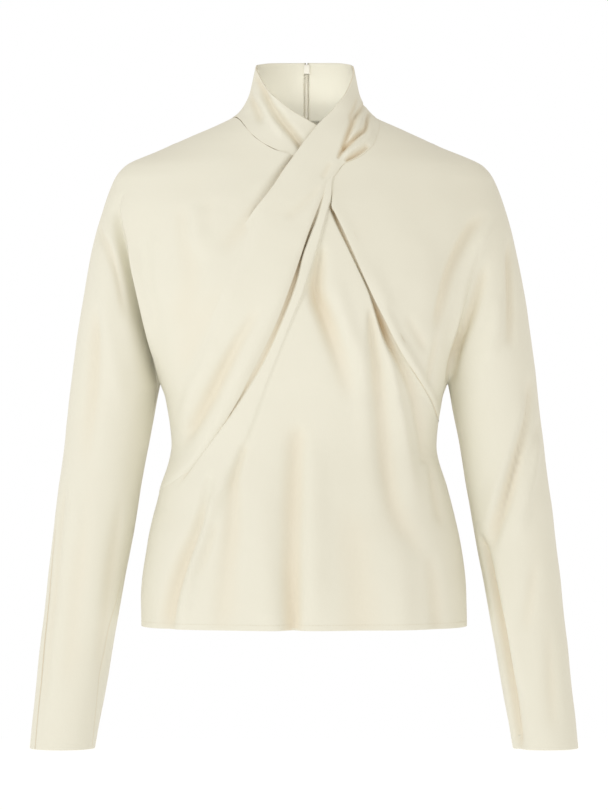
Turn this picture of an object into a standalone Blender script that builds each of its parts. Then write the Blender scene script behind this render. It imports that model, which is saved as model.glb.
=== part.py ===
"""High neck top with a crossed drape: a hollow garment in the form it has when worn.

Metres, +Z up, the front faces -Y and +X is the wearer's left. The origin is at the middle of the
base of the neck. Each panel is an open sheet on one body form, given its thickness by Solidify.
"""
import math

import bmesh
import bpy
import mathutils
import numpy as np

# Driving sizes.
WALL = 0.0012          # thickness of every cloth wall
SEAM_GAP = 0.0005      # between the outer edges of two panels at a seam; 0.3 mm inside
LAP = 0.0026           # how far a lapped panel lies outside the one under it
LEFT_LAP = 0.0034      # the same, of the left front's folded edge
NECK_SEAM = -0.0013    # height of the back neck seam
ARMPIT = -0.294
LEFT_TIP = -0.335      # where the left front's folded edge meets the side seam
RIGHT_TIP = -0.375     # where the right front ends at the side seam, under the drape
HEM = -0.559
CUFF = -0.6925
TWIST = -0.080         # top of the lower front, behind the twist
LAP_WIDTH = 0.060      # over which a lapped panel comes back to the body form
CREASE_SOFTNESS = 0.016
PROBE = 0.002          # step over which the form's slope is measured
ARMPIT_OPEN = 0.0016   # half of the front-to-back space at the point of the armpit
ARMPIT_REACH = 0.006   # how far from that point the space closes again
FOLD_FADE = 0.030      # depth over which folds die away towards the side seams
LAP_FLAT = 0.022       # the left front's lap stays at its full height this far from its edge
LAP_TOP = -0.078       # the lap begins here, below the neck seam
LAP_RISE = 0.014       # height over which it reaches its full lift
COLLAR_SIDE_RIGHT = 0.0540   # height of the collar's front pieces at the side of the neck
COLLAR_SIDE_LEFT = 0.0100
SLEEVE_ROUNDS = -0.150       # below this a sleeve's columns gather at both of its sides
SLEEVE_ROUNDS_OVER = 0.120

# Rows and columns of the panels.
FRONT_STEPS = np.linspace(0, 1, 8)
BACK_STEPS = np.array((0, 0.04, 0.24, 0.43, 0.62, 0.81, 1))
SLEEVE_COLUMNS = 7
LOWER_FRONT_COLUMNS = 14
DRAPE_COLUMNS = 6
DRAPE_STATIONS = (*np.linspace(0, 0.3, 9), *np.linspace(0.34, 0.9, 15), 0.935, 0.97, 0.985, 1.0)
COLLAR_ROWS = 4
COLLAR_BACK_STATIONS = np.linspace(0, 1, 11)

# Heights of the rows that all upper panels share, so that their seams meet point to point.
NECK_LEVELS = (NECK_SEAM, -0.0060, -0.0125, -0.0245, -0.0340, -0.0430, -0.0500, -0.0560,
               -0.0640, -0.0750, -0.0900, -0.1030)
LEVELS = (*NECK_LEVELS, *np.linspace(-0.132, -0.268, 5), ARMPIT, -0.314, -0.325, LEFT_TIP,
          -0.354, RIGHT_TIP, -0.400, -0.430, -0.475, -0.520, HEM, -0.602, -0.648, CUFF)


class Profile:
    """A short table of sections; each named column is read at any station by a smooth curve."""

    def __init__(self, columns, *rows):
        table = np.array(sorted(rows), float)
        self.stations = table[:, 0]
        self.values = dict(zip(columns.split()[1:], table[:, 1:].T))

    def __call__(self, column, station):
        knots, values = self.stations, self.values[column]
        step = np.diff(knots)
        rise = np.diff(values) / step
        slope = np.zeros_like(values)
        turning = rise[:-1] * rise[1:] <= 0
        total = np.where(turning, 1.0, rise[:-1] + rise[1:])
        slope[1:-1] = np.where(turning, 0.0, 2 * rise[:-1] * rise[1:] / total)
        slope[0], slope[-1] = rise[0], rise[-1]
        place = np.clip(np.asarray(station, float), knots[0], knots[-1])
        k = np.clip(np.searchsorted(knots, place, side="right") - 1, 0, len(step) - 1)
        t = (place - knots[k]) / step[k]
        return ((1 + 2 * t) * (1 - t) ** 2 * values[k] + t * (1 - t) ** 2 * step[k] * slope[k]
                + t * t * (3 - 2 * t) * values[k + 1] + t * t * (t - 1) * step[k] * slope[k + 1])


# The body: half width, depth in front of and behind the side seams, squareness of the section,
# and how far the section leans forward.
BODY = Profile(
    "height half_width front back square lean",
    (-0.559, 0.1790, 0.113, 0.112, 2.30, 0.0),
    (-0.530, 0.1790, 0.114, 0.114, 2.30, 0.0),
    (-0.465, 0.1715, 0.110, 0.108, 2.30, 0.0),
    (-0.410, 0.1580, 0.102, 0.095, 2.30, 0.0),
    (-0.360, 0.1455, 0.097, 0.086, 2.30, 0.0),
    (-0.310, 0.1523, 0.101, 0.088, 2.35, 0.0),
    (-0.294, 0.1580, 0.104, 0.090, 2.35, 0.0),
    (-0.250, 0.1700, 0.111, 0.097, 2.40, 0.0),
    (-0.200, 0.1830, 0.1155, 0.103, 2.40, 0.0),
    (-0.150, 0.1950, 0.110, 0.105, 2.30, 0.0),
    (-0.100, 0.2070, 0.099, 0.100, 2.15, 0.0),
    (-0.070, 0.2065, 0.0885, 0.092, 2.00, 0.0),
    (-0.056, 0.1980, 0.083, 0.088, 1.95, 0.0005),
    (-0.036, 0.1575, 0.0755, 0.081, 1.85, 0.0015),
    (-0.023, 0.1285, 0.071, 0.075, 1.80, 0.0022),
    (-0.010, 0.0985, 0.066, 0.067, 1.80, 0.0030),
    (0.000, 0.0775, 0.063, 0.063, 1.90, 0.0040),
    (0.010, 0.0680, 0.0617, 0.061, 2.00, 0.0050),
    (0.023, 0.0612, 0.0600, 0.058, 2.00, 0.0065),
    (0.036, 0.0580, 0.0585, 0.0565, 2.00, 0.0080),
    (0.062, 0.0530, 0.0570, 0.0550, 2.00, 0.0110),
)

# The sleeve, which leaves the body below the shoulder: its outer and inner side, its depth to
# front and back, and how far it hangs forward.
SLEEVE = Profile(
    "height outer inner depth forward",
    (-0.6925, 0.3008, 0.2290, 0.0345, 0.014),
    (-0.620, 0.2935, 0.2160, 0.0370, 0.010),
    (-0.532, 0.2840, 0.2010, 0.0400, 0.006),
    (-0.444, 0.2740, 0.1850, 0.0430, 0.003),
    (-0.356, 0.2630, 0.1700, 0.0465, 0.001),
    (-0.294, 0.2560, 0.1580, 0.0490, 0.0),
    (-0.250, 0.2505, 0.1495, 0.0505, 0.0),
    (-0.200, 0.2430, 0.1390, 0.0515, 0.0),
    (-0.150, 0.2335, 0.1265, 0.0515, 0.0),
    (-0.100, 0.2205, 0.1115, 0.0480, 0.0),
    (-0.070, 0.2090, 0.0970, 0.0400, 0.0),
    (-0.056, 0.1980, 0.1020, 0.0300, 0.0),
    (-0.030, 0.1430, 0.0970, 0.0, 0.0),
)

# Where the columns of the body part end and those of the sleeve part begin, above the armpit.
ARM_CREASE = Profile(
    "height place",
    (-0.294, 0.158), (-0.250, 0.167), (-0.200, 0.179), (-0.150, 0.190), (-0.100, 0.199),
    (-0.075, 0.187), (-0.056, 0.165), (-0.030, 0.112), (-0.0013, 0.0785),
)

# The edges of the two upper fronts towards the middle: the neck seam, then what the drape hides,
# then on the left the folded edge that runs from the twist to the side seam.
RIGHT_EDGE = Profile(
    "height place",
    (-0.0013, 0.0760), (-0.0060, 0.0700), (-0.0133, 0.0646), (-0.0243, 0.0556), (-0.0334, 0.0439),
    (-0.0402, 0.0324), (-0.0440, 0.0222), (-0.0500, 0.0050), (-0.0600, -0.010),
    (-0.0800, -0.010), (-0.1000, 0.003), (-0.1500, 0.030), (-0.2000, 0.050),
    (-0.2500, 0.073), (-0.3000, 0.100), (-0.3500, 0.132), (-0.3750, 0.1485),
)
LEFT_EDGE = Profile(
    "height place",
    (-0.0013, 0.0765), (-0.0117, 0.0818), (-0.0254, 0.0782), (-0.0340, 0.0748),
    (-0.0416, 0.0682), (-0.0488, 0.0593), (-0.0528, 0.0508), (-0.0556, 0.0440),
    (-0.0620, 0.0386), (-0.0684, 0.0332), (-0.0777, 0.0305), (-0.0958, 0.0296),
    (-0.1029, 0.0280), (-0.1344, 0.0440), (-0.1829, 0.0655), (-0.2171, 0.0816),
    (-0.2599, 0.1034), (-0.2846, 0.1200), (-0.3116, 0.1370), (-0.3350, 0.1478),
)

# The lower front: how far round the body it reaches to either side, in degrees.
LOWER_FRONT = Profile(
    "height right left",
    (-0.559, -90, 90), (-0.440, -90, 90), (-0.421, -90, 90), (-0.402, -71, 90),
    (-0.356, -48.5, 90), (-0.345, -43, 90), (-0.332, -36, 87), (-0.300, -27.5, 59),
    (-0.255, -18, 40.5), (-0.224, -11.6, 32), (-0.200, -8.3, 27), (-0.150, -3.4, 18),
    (-0.120, 0, 12.7), (-0.103, 1.8, 9.8), (-0.095, 2.4, 9), (-0.080, 4, 8),
)

# The crossed drape, along its length from the left side of the neck to the right side seam:
# its upper and lower edge, each by degrees round the body and by height.
DRAPE = Profile(
    "station upper_turn upper_height lower_turn lower_height",
    (0.00, 89.6, 0.0550, 89.6, 0.0120),
    (0.08, 66.0, 0.0400, 60.0, 0.0065),
    (0.16, 47.0, 0.0228, 40.0, -0.0040),
    (0.26, 22.0, 0.0010, 24.0, -0.0200),
    (0.34, 8.0, -0.0137, 15.0, -0.0370),
    (0.40, 0.0, -0.0330, 10.0, -0.0570),
    (0.47, -5.0, -0.0580, 7.2, -0.0800),
    (0.54, -10.0, -0.0850, 4.6, -0.1020),
    (0.62, -17.0, -0.1150, 1.5, -0.1320),
    (0.70, -25.0, -0.1500, -3.0, -0.1770),
    (0.78, -36.0, -0.2000, -9.5, -0.2280),
    (0.86, -50.0, -0.2550, -22.0, -0.2900),
    (0.93, -68.0, -0.3050, -41.0, -0.3530),
    (0.97, -80.0, -0.3280, -62.0, -0.4015),
    (1.00, -90.0, -0.3450, -90.0, -0.4210),
)

# The collar. Its front pieces are sewn to the fronts' neck seams, so a row gives a height on
# that seam and, across from it, the piece's other edge: by degrees round the body and height.
COLLAR_FRONT_RIGHT = Profile(
    "seam_height turn height",
    (-0.0013, 72.0, 0.0466), (-0.0060, 55.0, 0.0345), (-0.0125, 41.0, 0.0240),
    (-0.0245, 26.0, 0.0140), (-0.0340, 12.0, 0.0030), (-0.0430, -2.0, -0.0080),
    (-0.0500, -12.0, -0.0200),
)
COLLAR_FRONT_LEFT = Profile(
    "seam_height turn height",
    (-0.0013, 70.0, 0.0100), (-0.0060, 60.0, 0.0100), (-0.0125, 50.0, 0.0060),
    (-0.0245, 36.0, -0.0010), (-0.0340, 28.0, -0.0100), (-0.0430, 20.0, -0.0220),
    (-0.0500, 14.0, -0.0330), (-0.0560, 10.0, -0.0450), (-0.0640, 7.5, -0.0570),
    (-0.0750, 6.5, -0.0690),
)
SIDE_TURN = 89.7
COLLAR_BACK = Profile(
    "station upper_turn upper_height lower_turn lower_height",
    (0.00, 90.3, 0.0555, 90.3, -0.0009),
    (0.50, 135.0, 0.0600, 135.0, -0.0009),
    (1.00, 180.0, 0.0612, 180.0, -0.0009),
)

# The largest folds, each a soft ridge (rise above 0) or trough along a curve in the front view.
FOLDS = (
    # from x, z       by x, z          to x, z          reach   rise
    (0.020, -0.110, -0.010, -0.230, -0.125, -0.480, 0.017, 0.0075),
    (0.030, -0.125, 0.018, -0.230, -0.085, -0.440, 0.016, -0.0060),
    (0.052, -0.165, 0.085, -0.260, 0.125, -0.460, 0.020, -0.0050),
    (-0.010, -0.360, -0.014, -0.460, -0.012, -0.556, 0.016, -0.0040),
    (0.205, -0.120, 0.160, -0.180, 0.150, -0.275, 0.018, 0.0050),
    (0.255, -0.300, 0.235, -0.400, 0.212, -0.480, 0.013, -0.0050),
    (-0.226, -0.210, -0.228, -0.280, -0.234, -0.360, 0.014, -0.0045),
)

# The zip in the centre back, and its slider's loop and pull tab.
ZIP_PLACE = 0.003
ZIP_TOP = 0.0585
ZIP_END = -0.166
ZIP_GAP = 0.0006
TAPE_WIDTH = 0.0105
TAPE_THICKNESS = 0.001
COIL_WIDTH = 0.0047
COIL_THICKNESS = 0.0016
SLIDER_HEIGHT = 0.0563
SLIDER_SIZE = (0.0070, 0.0030, 0.0105)
LOOP_SIZE = (0.0006, 0.0030, 0.0030)
LOOP_HOLE = 0.0009
PIN_RADIUS = 0.0005
PIN_OUT = 0.0016
PULL_SIZE = (0.0042, 0.0009, 0.0200)
PULL_SLOT = (0.0016, 0.0027)
CLEAR = 0.0003
TAPE_SEAT = 0.0006
COIL_END = 0.004       # the coil stops this far above the tapes' lower end
SLIDER_EDGE = 0.0007   # rounding of the slider's edges
PULL_EDGE = 0.0003


def smooth_step(value):
    """0 below 0, 1 above 1, and a soft slope between."""
    value = np.clip(value, 0.0, 1.0)
    return value * value * (3 - 2 * value)


def outer_side(height):
    """Half of the garment's width: the body's above the shoulder point, the sleeve's below."""
    above = np.asarray(height) > SLEEVE.stations[-2]
    return np.where(above, BODY("half_width", height), SLEEVE("outer", height))


def rounded(share, power):
    """Depth of a rounded section, 1 at its middle and 0 at its side; below 0 outside it."""
    inside = (1 - np.clip(share, 0, 1) ** power) ** (1 / power)
    return inside - 2 * np.maximum(share - 1, 0)


def fold_rise(x, z):
    """Height of the folds of the front at a place in the front view."""
    total = np.zeros(np.broadcast(x, z).shape)
    for from_x, from_z, by_x, by_z, to_x, to_z, reach, rise in FOLDS:
        nearest = np.full(total.shape, 1.0)
        weight = np.zeros(total.shape)
        for t in np.linspace(0, 1, 25):
            here_x = (1 - t) ** 2 * from_x + 2 * t * (1 - t) * by_x + t * t * to_x
            here_z = (1 - t) ** 2 * from_z + 2 * t * (1 - t) * by_z + t * t * to_z
            away = np.hypot(x - here_x, z - here_z)
            closer = away < nearest
            nearest = np.where(closer, away, nearest)
            weight = np.where(closer, smooth_step(4 * min(t, 1 - t) + 0.15), weight)
        total += rise * weight * np.exp(-(nearest / reach) ** 2)
    return total


def cloth_depth(x, z, face):
    """How far the cloth stands in front of (or behind) the side seams at a place."""
    across = np.abs(x)
    trunk = BODY(face, z) * rounded(across / BODY("half_width", z), BODY("square", z))
    middle = (SLEEVE("outer", z) + SLEEVE("inner", z)) / 2
    half = (SLEEVE("outer", z) - SLEEVE("inner", z)) / 2
    arm = SLEEVE("depth", z) * rounded(np.abs(across - middle) / half, 2.0)
    arm = np.where(SLEEVE("depth", z) > 0, arm, -1.0)
    soft = np.minimum(CREASE_SOFTNESS, 1.5 * np.maximum(np.maximum(trunk, arm), 1e-6))
    blend = np.maximum(soft - np.abs(trunk - arm), 0) / soft
    return np.maximum(trunk, arm) + soft * blend ** 2 / 4


def outward(x, z, face):
    """Direction out of the body form: across, away from the side seams, and up."""
    half, depth, power = BODY("half_width", z), BODY(face, z), BODY("square", z)
    share = np.clip(np.abs(x) / half, 0, 1)
    half_growth, depth_growth = (
        (BODY(column, z + PROBE) - BODY(column, z - PROBE)) / (2 * PROBE)
        for column in ("half_width", face))
    across = np.sign(x) * share ** (power - 1) / half
    away = (1 - share ** power) ** (1 - 1 / power) / depth
    up = -(share ** power * half_growth / half + (1 - share ** power) * depth_growth / depth)
    length = np.sqrt(across ** 2 + away ** 2 + up ** 2)
    return across / length, away / length, up / length


def cloth_point(x, z, face, lift=0.0):
    """The outer surface of the cloth at a place in the front view, lifted off the body form."""
    depth = cloth_depth(x, z, face)
    if face == "front":
        depth = depth + fold_rise(x, z) * smooth_step(depth / FOLD_FADE)
    beside = (np.abs(x) > BODY("half_width", z)) & (z < ARMPIT)
    forward = BODY("lean", z) + np.where(beside, SLEEVE("forward", z), 0.0)
    near_armpit = np.hypot(np.abs(x) - BODY("half_width", ARMPIT), z - ARMPIT)
    least = SEAM_GAP / 2 + ARMPIT_OPEN * smooth_step(1 - near_armpit / ARMPIT_REACH)
    depth = np.maximum(depth, least)
    sign = -1 if face == "front" else 1
    out_x, out_y, out_z = outward(x, z, face)
    return np.stack((x + lift * out_x, sign * (depth + lift * out_y) - forward,
                     z + lift * out_z), axis=-1)


def turned_point(turn, z, lift=0.0, face="front"):
    """The same, at degrees round the body from the centre front."""
    x = BODY("half_width", z) * np.sin(np.radians(turn))
    return cloth_point(x, z, face, lift)


def make_panel(name, grids, face, material, thickness=WALL):
    """Join grids of points into one sheet, weld them and give it its thickness inwards."""
    panel = bmesh.new()
    for grid in grids:
        rows = [[panel.verts.new(point) for point in row] for row in grid]
        for upper, lower in zip(rows, rows[1:]):
            for k in range(len(upper) - 1):
                panel.faces.new((upper[k], upper[k + 1], lower[k + 1], lower[k]))
    bmesh.ops.remove_doubles(panel, verts=panel.verts, dist=1e-5)
    bmesh.ops.dissolve_degenerate(panel, edges=panel.edges, dist=1e-5)
    bmesh.ops.recalc_face_normals(panel, faces=panel.faces)
    away = -1 if face == "front" else 1
    if sum(part.normal.y * part.calc_area() for part in panel.faces) * away < 0:
        bmesh.ops.reverse_faces(panel, faces=panel.faces)
    mesh = bpy.data.meshes.new(name)
    panel.to_mesh(mesh)
    panel.free()
    mesh.shade_smooth()
    mesh.materials.append(material)
    sheet = bpy.data.objects.new(name, mesh)
    garment.objects.link(sheet)
    wall = sheet.modifiers.new("Wall", "SOLIDIFY")
    wall.thickness = thickness
    wall.offset = -1
    return sheet


def right_edge(z):
    return float(RIGHT_EDGE("place", z))


def left_edge(z):
    return float(LEFT_EDGE("place", z))


def back_middle_right(z):
    return -ZIP_PLACE + SEAM_GAP / 2


def back_middle_left(z):
    return ZIP_PLACE + SEAM_GAP / 2


def no_lift(x, z):
    return 0.0


def left_lift(x, z):
    """How far the left front's folded edge stands off the body form."""
    away = x - left_edge(z)
    below_neck = smooth_step((LAP_TOP - z) / LAP_RISE)
    return LEFT_LAP * below_neck * smooth_step(1 - (away - LAP_FLAT) / LAP_WIDTH)


def drape_lift(station):
    """How far the drape stands off the body form; nothing where its end meets the collar."""
    return LAP * smooth_step(station / 0.03)


def body_and_sleeve(side, face, inner_edge, last, body_steps, lift=no_lift):
    """Grids of an upper panel from its inner edge to the side seam, and of its half sleeve."""
    even = np.linspace(0, 1, SLEEVE_COLUMNS + 1)
    sleeve_steps = even - 0.5 * np.sin(2 * np.pi * even) / (2 * np.pi)
    body_rows = []
    sleeve_rows = []
    for z in LEVELS:
        above = z >= ARMPIT
        crease = float(ARM_CREASE("place", z) if above else BODY("half_width", z))
        inner = float(inner_edge(z))
        if z >= last:
            x = inner + (crease - inner) * np.sin(body_steps * np.pi / 2)
            body_rows.append(cloth_point(side * x, z + 0 * x, face, lift(x, z)))
        start = crease if above else float(SLEEVE("inner", z))
        side_on = np.sin(sleeve_steps * np.pi / 2)
        all_round = (1 - np.cos(sleeve_steps * np.pi)) / 2
        share = float(smooth_step((SLEEVE_ROUNDS - z) / SLEEVE_ROUNDS_OVER))
        x = start + (float(outer_side(z)) - start) * (side_on + (all_round - side_on) * share)
        sleeve_rows.append(cloth_point(side * x, z + 0 * x, face))
    return body_rows, sleeve_rows


def edged_grid(edges, stations, columns, face, side, lifts):
    """Grid of a piece given by its upper and lower edges, row by row from one to the other."""
    across = np.linspace(0, 1, columns + 1)
    rows = []
    for station, lift in zip(stations, lifts):
        turn = edges("upper_turn", station) * (1 - across) + edges("lower_turn", station) * across
        z = edges("upper_height", station) * (1 - across) + edges("lower_height", station) * across
        rows.append(turned_point(side * turn, z, lift, face))
    return rows


def make_fronts(cloth):
    """The two upper fronts with their sleeves, the lower front and the crossed drape."""
    grids = body_and_sleeve(-1, "front", right_edge, RIGHT_TIP, FRONT_STEPS)
    make_panel("front_right", grids, "front", cloth)
    grids = body_and_sleeve(1, "front", left_edge, LEFT_TIP, FRONT_STEPS, left_lift)
    make_panel("front_left", grids, "front", cloth)

    rows = []
    for z in (TWIST, *(z for z in LEVELS if HEM <= z < TWIST)):
        turn = np.linspace(LOWER_FRONT("right", z), LOWER_FRONT("left", z),
                           LOWER_FRONT_COLUMNS + 1)
        rows.append(turned_point(turn, z + 0 * turn))
    make_panel("front_lower", [rows], "front", cloth)

    lifts = [drape_lift(station) for station in DRAPE_STATIONS]
    rows = edged_grid(DRAPE, DRAPE_STATIONS, DRAPE_COLUMNS, "front", 1, lifts)
    make_panel("cross_drape", [rows], "front", cloth)


def make_backs(cloth):
    """The two backs with their sleeves, from the zip to the side seams."""
    grids = body_and_sleeve(-1, "back", back_middle_right, HEM, BACK_STEPS)
    make_panel("back_right", grids, "back", cloth)
    grids = body_and_sleeve(1, "back", back_middle_left, HEM, BACK_STEPS)
    make_panel("back_left", grids, "back", cloth)


def collar_front(side, seam, free_edge, side_height):
    """Grid of a front piece of the collar, from the side of the neck along its neck seam."""
    across = np.linspace(0, 1, COLLAR_ROWS + 1)
    ends = [(SIDE_TURN, NECK_SEAM, SIDE_TURN, side_height)]
    for z in NECK_LEVELS:
        if z >= free_edge.stations[0]:
            seam_turn = np.degrees(np.arcsin(seam("place", z) / BODY("half_width", z)))
            ends.append((seam_turn, z, free_edge("turn", z), free_edge("height", z)))
    rows = []
    for seam_turn, seam_height, turn, height in ends:
        low = seam_height + SEAM_GAP
        rows.append(turned_point(side * (turn + (seam_turn - turn) * across),
                                 height + (low - height) * across))
    return rows


def make_collar(cloth):
    """The four pieces of the high collar, two in front and two beside the zip."""
    rows = collar_front(-1, RIGHT_EDGE, COLLAR_FRONT_RIGHT, COLLAR_SIDE_RIGHT)
    make_panel("collar_front_right", [rows], "front", cloth)
    rows = collar_front(1, LEFT_EDGE, COLLAR_FRONT_LEFT, COLLAR_SIDE_LEFT)
    make_panel("collar_front_left", [rows], "front", cloth)
    flat = np.zeros(len(COLLAR_BACK_STATIONS))
    for side, name in ((-1, "right"), (1, "left")):
        rows = edged_grid(COLLAR_BACK, COLLAR_BACK_STATIONS, COLLAR_ROWS, "back", side, flat)
        for point in rows[-1]:
            point[0] = ZIP_PLACE + side * ZIP_GAP
        make_panel(f"collar_back_{name}", [rows], "back", cloth)


def back_strip(low_x, high_x, top, bottom, inset):
    """Rows of a strip down the inside of the centre back, level with the rows outside it."""
    collar = np.linspace(COLLAR_BACK("upper_height", 1.0), COLLAR_BACK("lower_height", 1.0),
                         COLLAR_ROWS + 1)
    outside = [z for z in (*collar, *LEVELS[1:]) if bottom + COIL_END < z < top - COIL_END]
    rows = []
    for z in (top, *outside, bottom):
        x = np.linspace(low_x, high_x, 3)
        rows.append(cloth_point(x, z + 0 * x, "back", -inset))
    return rows


def make_box(name, size, place, material, bevel=0.0):
    """A box with rounded edges, as an object of its own."""
    bpy.ops.mesh.primitive_cube_add(size=1, location=(0, 0, 0))
    box = bpy.context.object
    box.name = name
    box.data.name = name
    box.data.transform(mathutils.Matrix.LocRotScale(place, None, size))
    box.data.materials.append(material)
    for collection in box.users_collection:
        collection.objects.unlink(box)
    garment.objects.link(box)
    if bevel:
        rounding = box.modifiers.new("Rounded", "BEVEL")
        rounding.width = bevel
        rounding.segments = 1
        rounding.limit_method = "NONE"
    return box


def make_rod(name, radius, length, place, material):
    """A round bar along X."""
    bpy.ops.mesh.primitive_cylinder_add(vertices=12, radius=radius, depth=length)
    rod = bpy.context.object
    rod.name = name
    rod.data.name = name
    turn = mathutils.Matrix.Rotation(math.pi / 2, 4, "Y")
    rod.data.transform(mathutils.Matrix.Translation(place) @ turn)
    rod.data.materials.append(material)
    for collection in rod.users_collection:
        collection.objects.unlink(rod)
    garment.objects.link(rod)
    return rod


def as_helper(shape):
    """Keep a cutter or a joined shape in the helpers' collection, out of the model."""
    garment.objects.unlink(shape)
    helpers.objects.link(shape)
    shape.hide_render = True
    shape.display_type = "WIRE"


def combine(target, other, operation):
    """Join the other shape to the target, or cut it out of it."""
    boolean = target.modifiers.new(other.name, "BOOLEAN")
    boolean.operation = operation
    boolean.object = other
    as_helper(other)


def make_zip(tape_material, coil_material, slider_material):
    """The concealed zip: two tapes, the closed coil, the slider and its pull tab."""
    tape_inset = WALL + TAPE_SEAT
    for side, name in ((-1, "right"), (1, "left")):
        near = ZIP_PLACE + side * ZIP_GAP
        rows = back_strip(near, near + side * TAPE_WIDTH, ZIP_TOP, ZIP_END, tape_inset)
        make_panel(f"zip_tape_{name}", [rows], "back", tape_material, TAPE_THICKNESS)
    coil_inset = tape_inset + TAPE_THICKNESS + CLEAR
    coil_top = SLIDER_HEIGHT - SLIDER_SIZE[2] / 2 - 4 * CLEAR
    rows = back_strip(ZIP_PLACE - COIL_WIDTH / 2, ZIP_PLACE + COIL_WIDTH / 2, coil_top,
                      ZIP_END + COIL_END, coil_inset)
    make_panel("zip_coil", [rows], "back", coil_material, COIL_THICKNESS)

    # The slider and its pull are made with Y outwards and Z up the cloth, then leant with it.
    seat = cloth_point(ZIP_PLACE, np.array(SLIDER_HEIGHT), "back")
    above = cloth_point(ZIP_PLACE, np.array(SLIDER_HEIGHT + 0.004), "back")
    below = cloth_point(ZIP_PLACE, np.array(SLIDER_HEIGHT - 0.016), "back")
    slope = math.atan2(float(below[1] - above[1]), float(above[2] - below[2]))
    lean = mathutils.Matrix.Rotation(slope, 4, "X")
    to_cloth = mathutils.Matrix.Translation(seat) @ lean

    body_y = -coil_inset - SLIDER_SIZE[1] / 2 - CLEAR / 2
    slider = make_box("zip_slider", SLIDER_SIZE, (0, body_y, 0), slider_material, SLIDER_EDGE)
    reach = PIN_OUT + LOOP_SIZE[1] / 2 - body_y
    loop_y = body_y + reach / 2
    loop_box = (LOOP_SIZE[0], reach, LOOP_SIZE[2])
    loop = make_box("slider_loop", loop_box, (0, loop_y, 0), slider_material)
    combine(slider, loop, "UNION")
    hole = make_rod("loop_hole", LOOP_HOLE, 0.004, (0, PIN_OUT, 0), slider_material)
    combine(slider, hole, "DIFFERENCE")
    slider.data.transform(to_cloth)
    loop.data.transform(to_cloth)
    hole.data.transform(to_cloth)

    # The pull hangs from its pin through the loop; its object's origin is on the pin's axis.
    pull_z = PIN_RADIUS - PULL_SIZE[2] / 2
    pull = make_box("zip_pull", PULL_SIZE, (0, 0, pull_z), slider_material, PULL_EDGE)
    slot_size = (PULL_SLOT[0], 0.004, 2 * PULL_SLOT[1])
    slot = make_box("pull_slot", slot_size, (0, 0, 0), slider_material)
    combine(pull, slot, "DIFFERENCE")
    pin = make_rod("pull_pin", PIN_RADIUS, PULL_SLOT[0] + 0.001, (0, 0, 0), slider_material)
    combine(pull, pin, "UNION")
    for shape in (pull, slot, pin):
        shape.matrix_world = to_cloth @ mathutils.Matrix.Translation((0, PIN_OUT, 0))


def make_material(name, colour, roughness):
    """A plain material in one colour."""
    material = bpy.data.materials.new(name)
    material.use_nodes = True
    shader = material.node_tree.nodes["Principled BSDF"]
    shader.inputs["Base Color"].default_value = (*colour, 1)
    shader.inputs["Roughness"].default_value = roughness
    return material


for old in list(bpy.data.objects):
    bpy.data.objects.remove(old, do_unlink=True)
garment = bpy.data.collections.new("high_neck_top")
helpers = bpy.data.collections.new("helpers")
bpy.context.scene.collection.children.link(garment)
bpy.context.scene.collection.children.link(helpers)

satin = make_material("ivory_crepe", (0.80, 0.76, 0.62), 0.5)
tape_cloth = make_material("ivory_tape", (0.76, 0.72, 0.58), 0.75)
coil_nylon = make_material("ivory_nylon", (0.82, 0.79, 0.68), 0.4)
lacquer = make_material("ivory_lacquer", (0.84, 0.82, 0.74), 0.3)

make_fronts(satin)
make_backs(satin)
make_collar(satin)
make_zip(tape_cloth, coil_nylon, lacquer)
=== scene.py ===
# %% [markdown]
# # A high neck top with a crossed drape
# This lesson dresses a plain, measured model of a long-sleeved top. Two fronts meet in a twist
# below the neck: one side of the high collar runs on as a drape, crosses the chest and ends in
# the far side seam. The plain model gives every size. Here each cut piece becomes a fine sheet
# with rolled edges, folds, seams, stitches and a soft ivory cloth.

# %% Load the measured model
import math

import bmesh
import bpy
import numpy as np
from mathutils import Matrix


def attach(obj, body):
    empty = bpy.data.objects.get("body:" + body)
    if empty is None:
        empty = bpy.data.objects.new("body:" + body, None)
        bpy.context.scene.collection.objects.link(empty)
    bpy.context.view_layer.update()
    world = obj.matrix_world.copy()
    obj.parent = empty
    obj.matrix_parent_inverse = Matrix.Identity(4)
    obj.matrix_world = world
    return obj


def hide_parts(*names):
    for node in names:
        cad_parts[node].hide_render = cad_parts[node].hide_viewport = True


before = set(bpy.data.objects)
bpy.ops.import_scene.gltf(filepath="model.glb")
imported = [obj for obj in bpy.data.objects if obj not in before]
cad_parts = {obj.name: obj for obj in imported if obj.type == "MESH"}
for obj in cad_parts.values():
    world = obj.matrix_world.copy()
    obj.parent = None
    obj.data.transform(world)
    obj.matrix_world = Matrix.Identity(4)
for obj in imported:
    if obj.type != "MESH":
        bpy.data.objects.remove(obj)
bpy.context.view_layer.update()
print("pieces in the plain model:", len(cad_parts))

# %% [markdown]
# ## Tables of sections
# A garment's form could be sculpted by hand, but then no size could be named. Short tables of
# sections, read by a smooth curve, keep each measure where a maker would look for it.

# %% Read a table by a smooth curve


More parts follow.
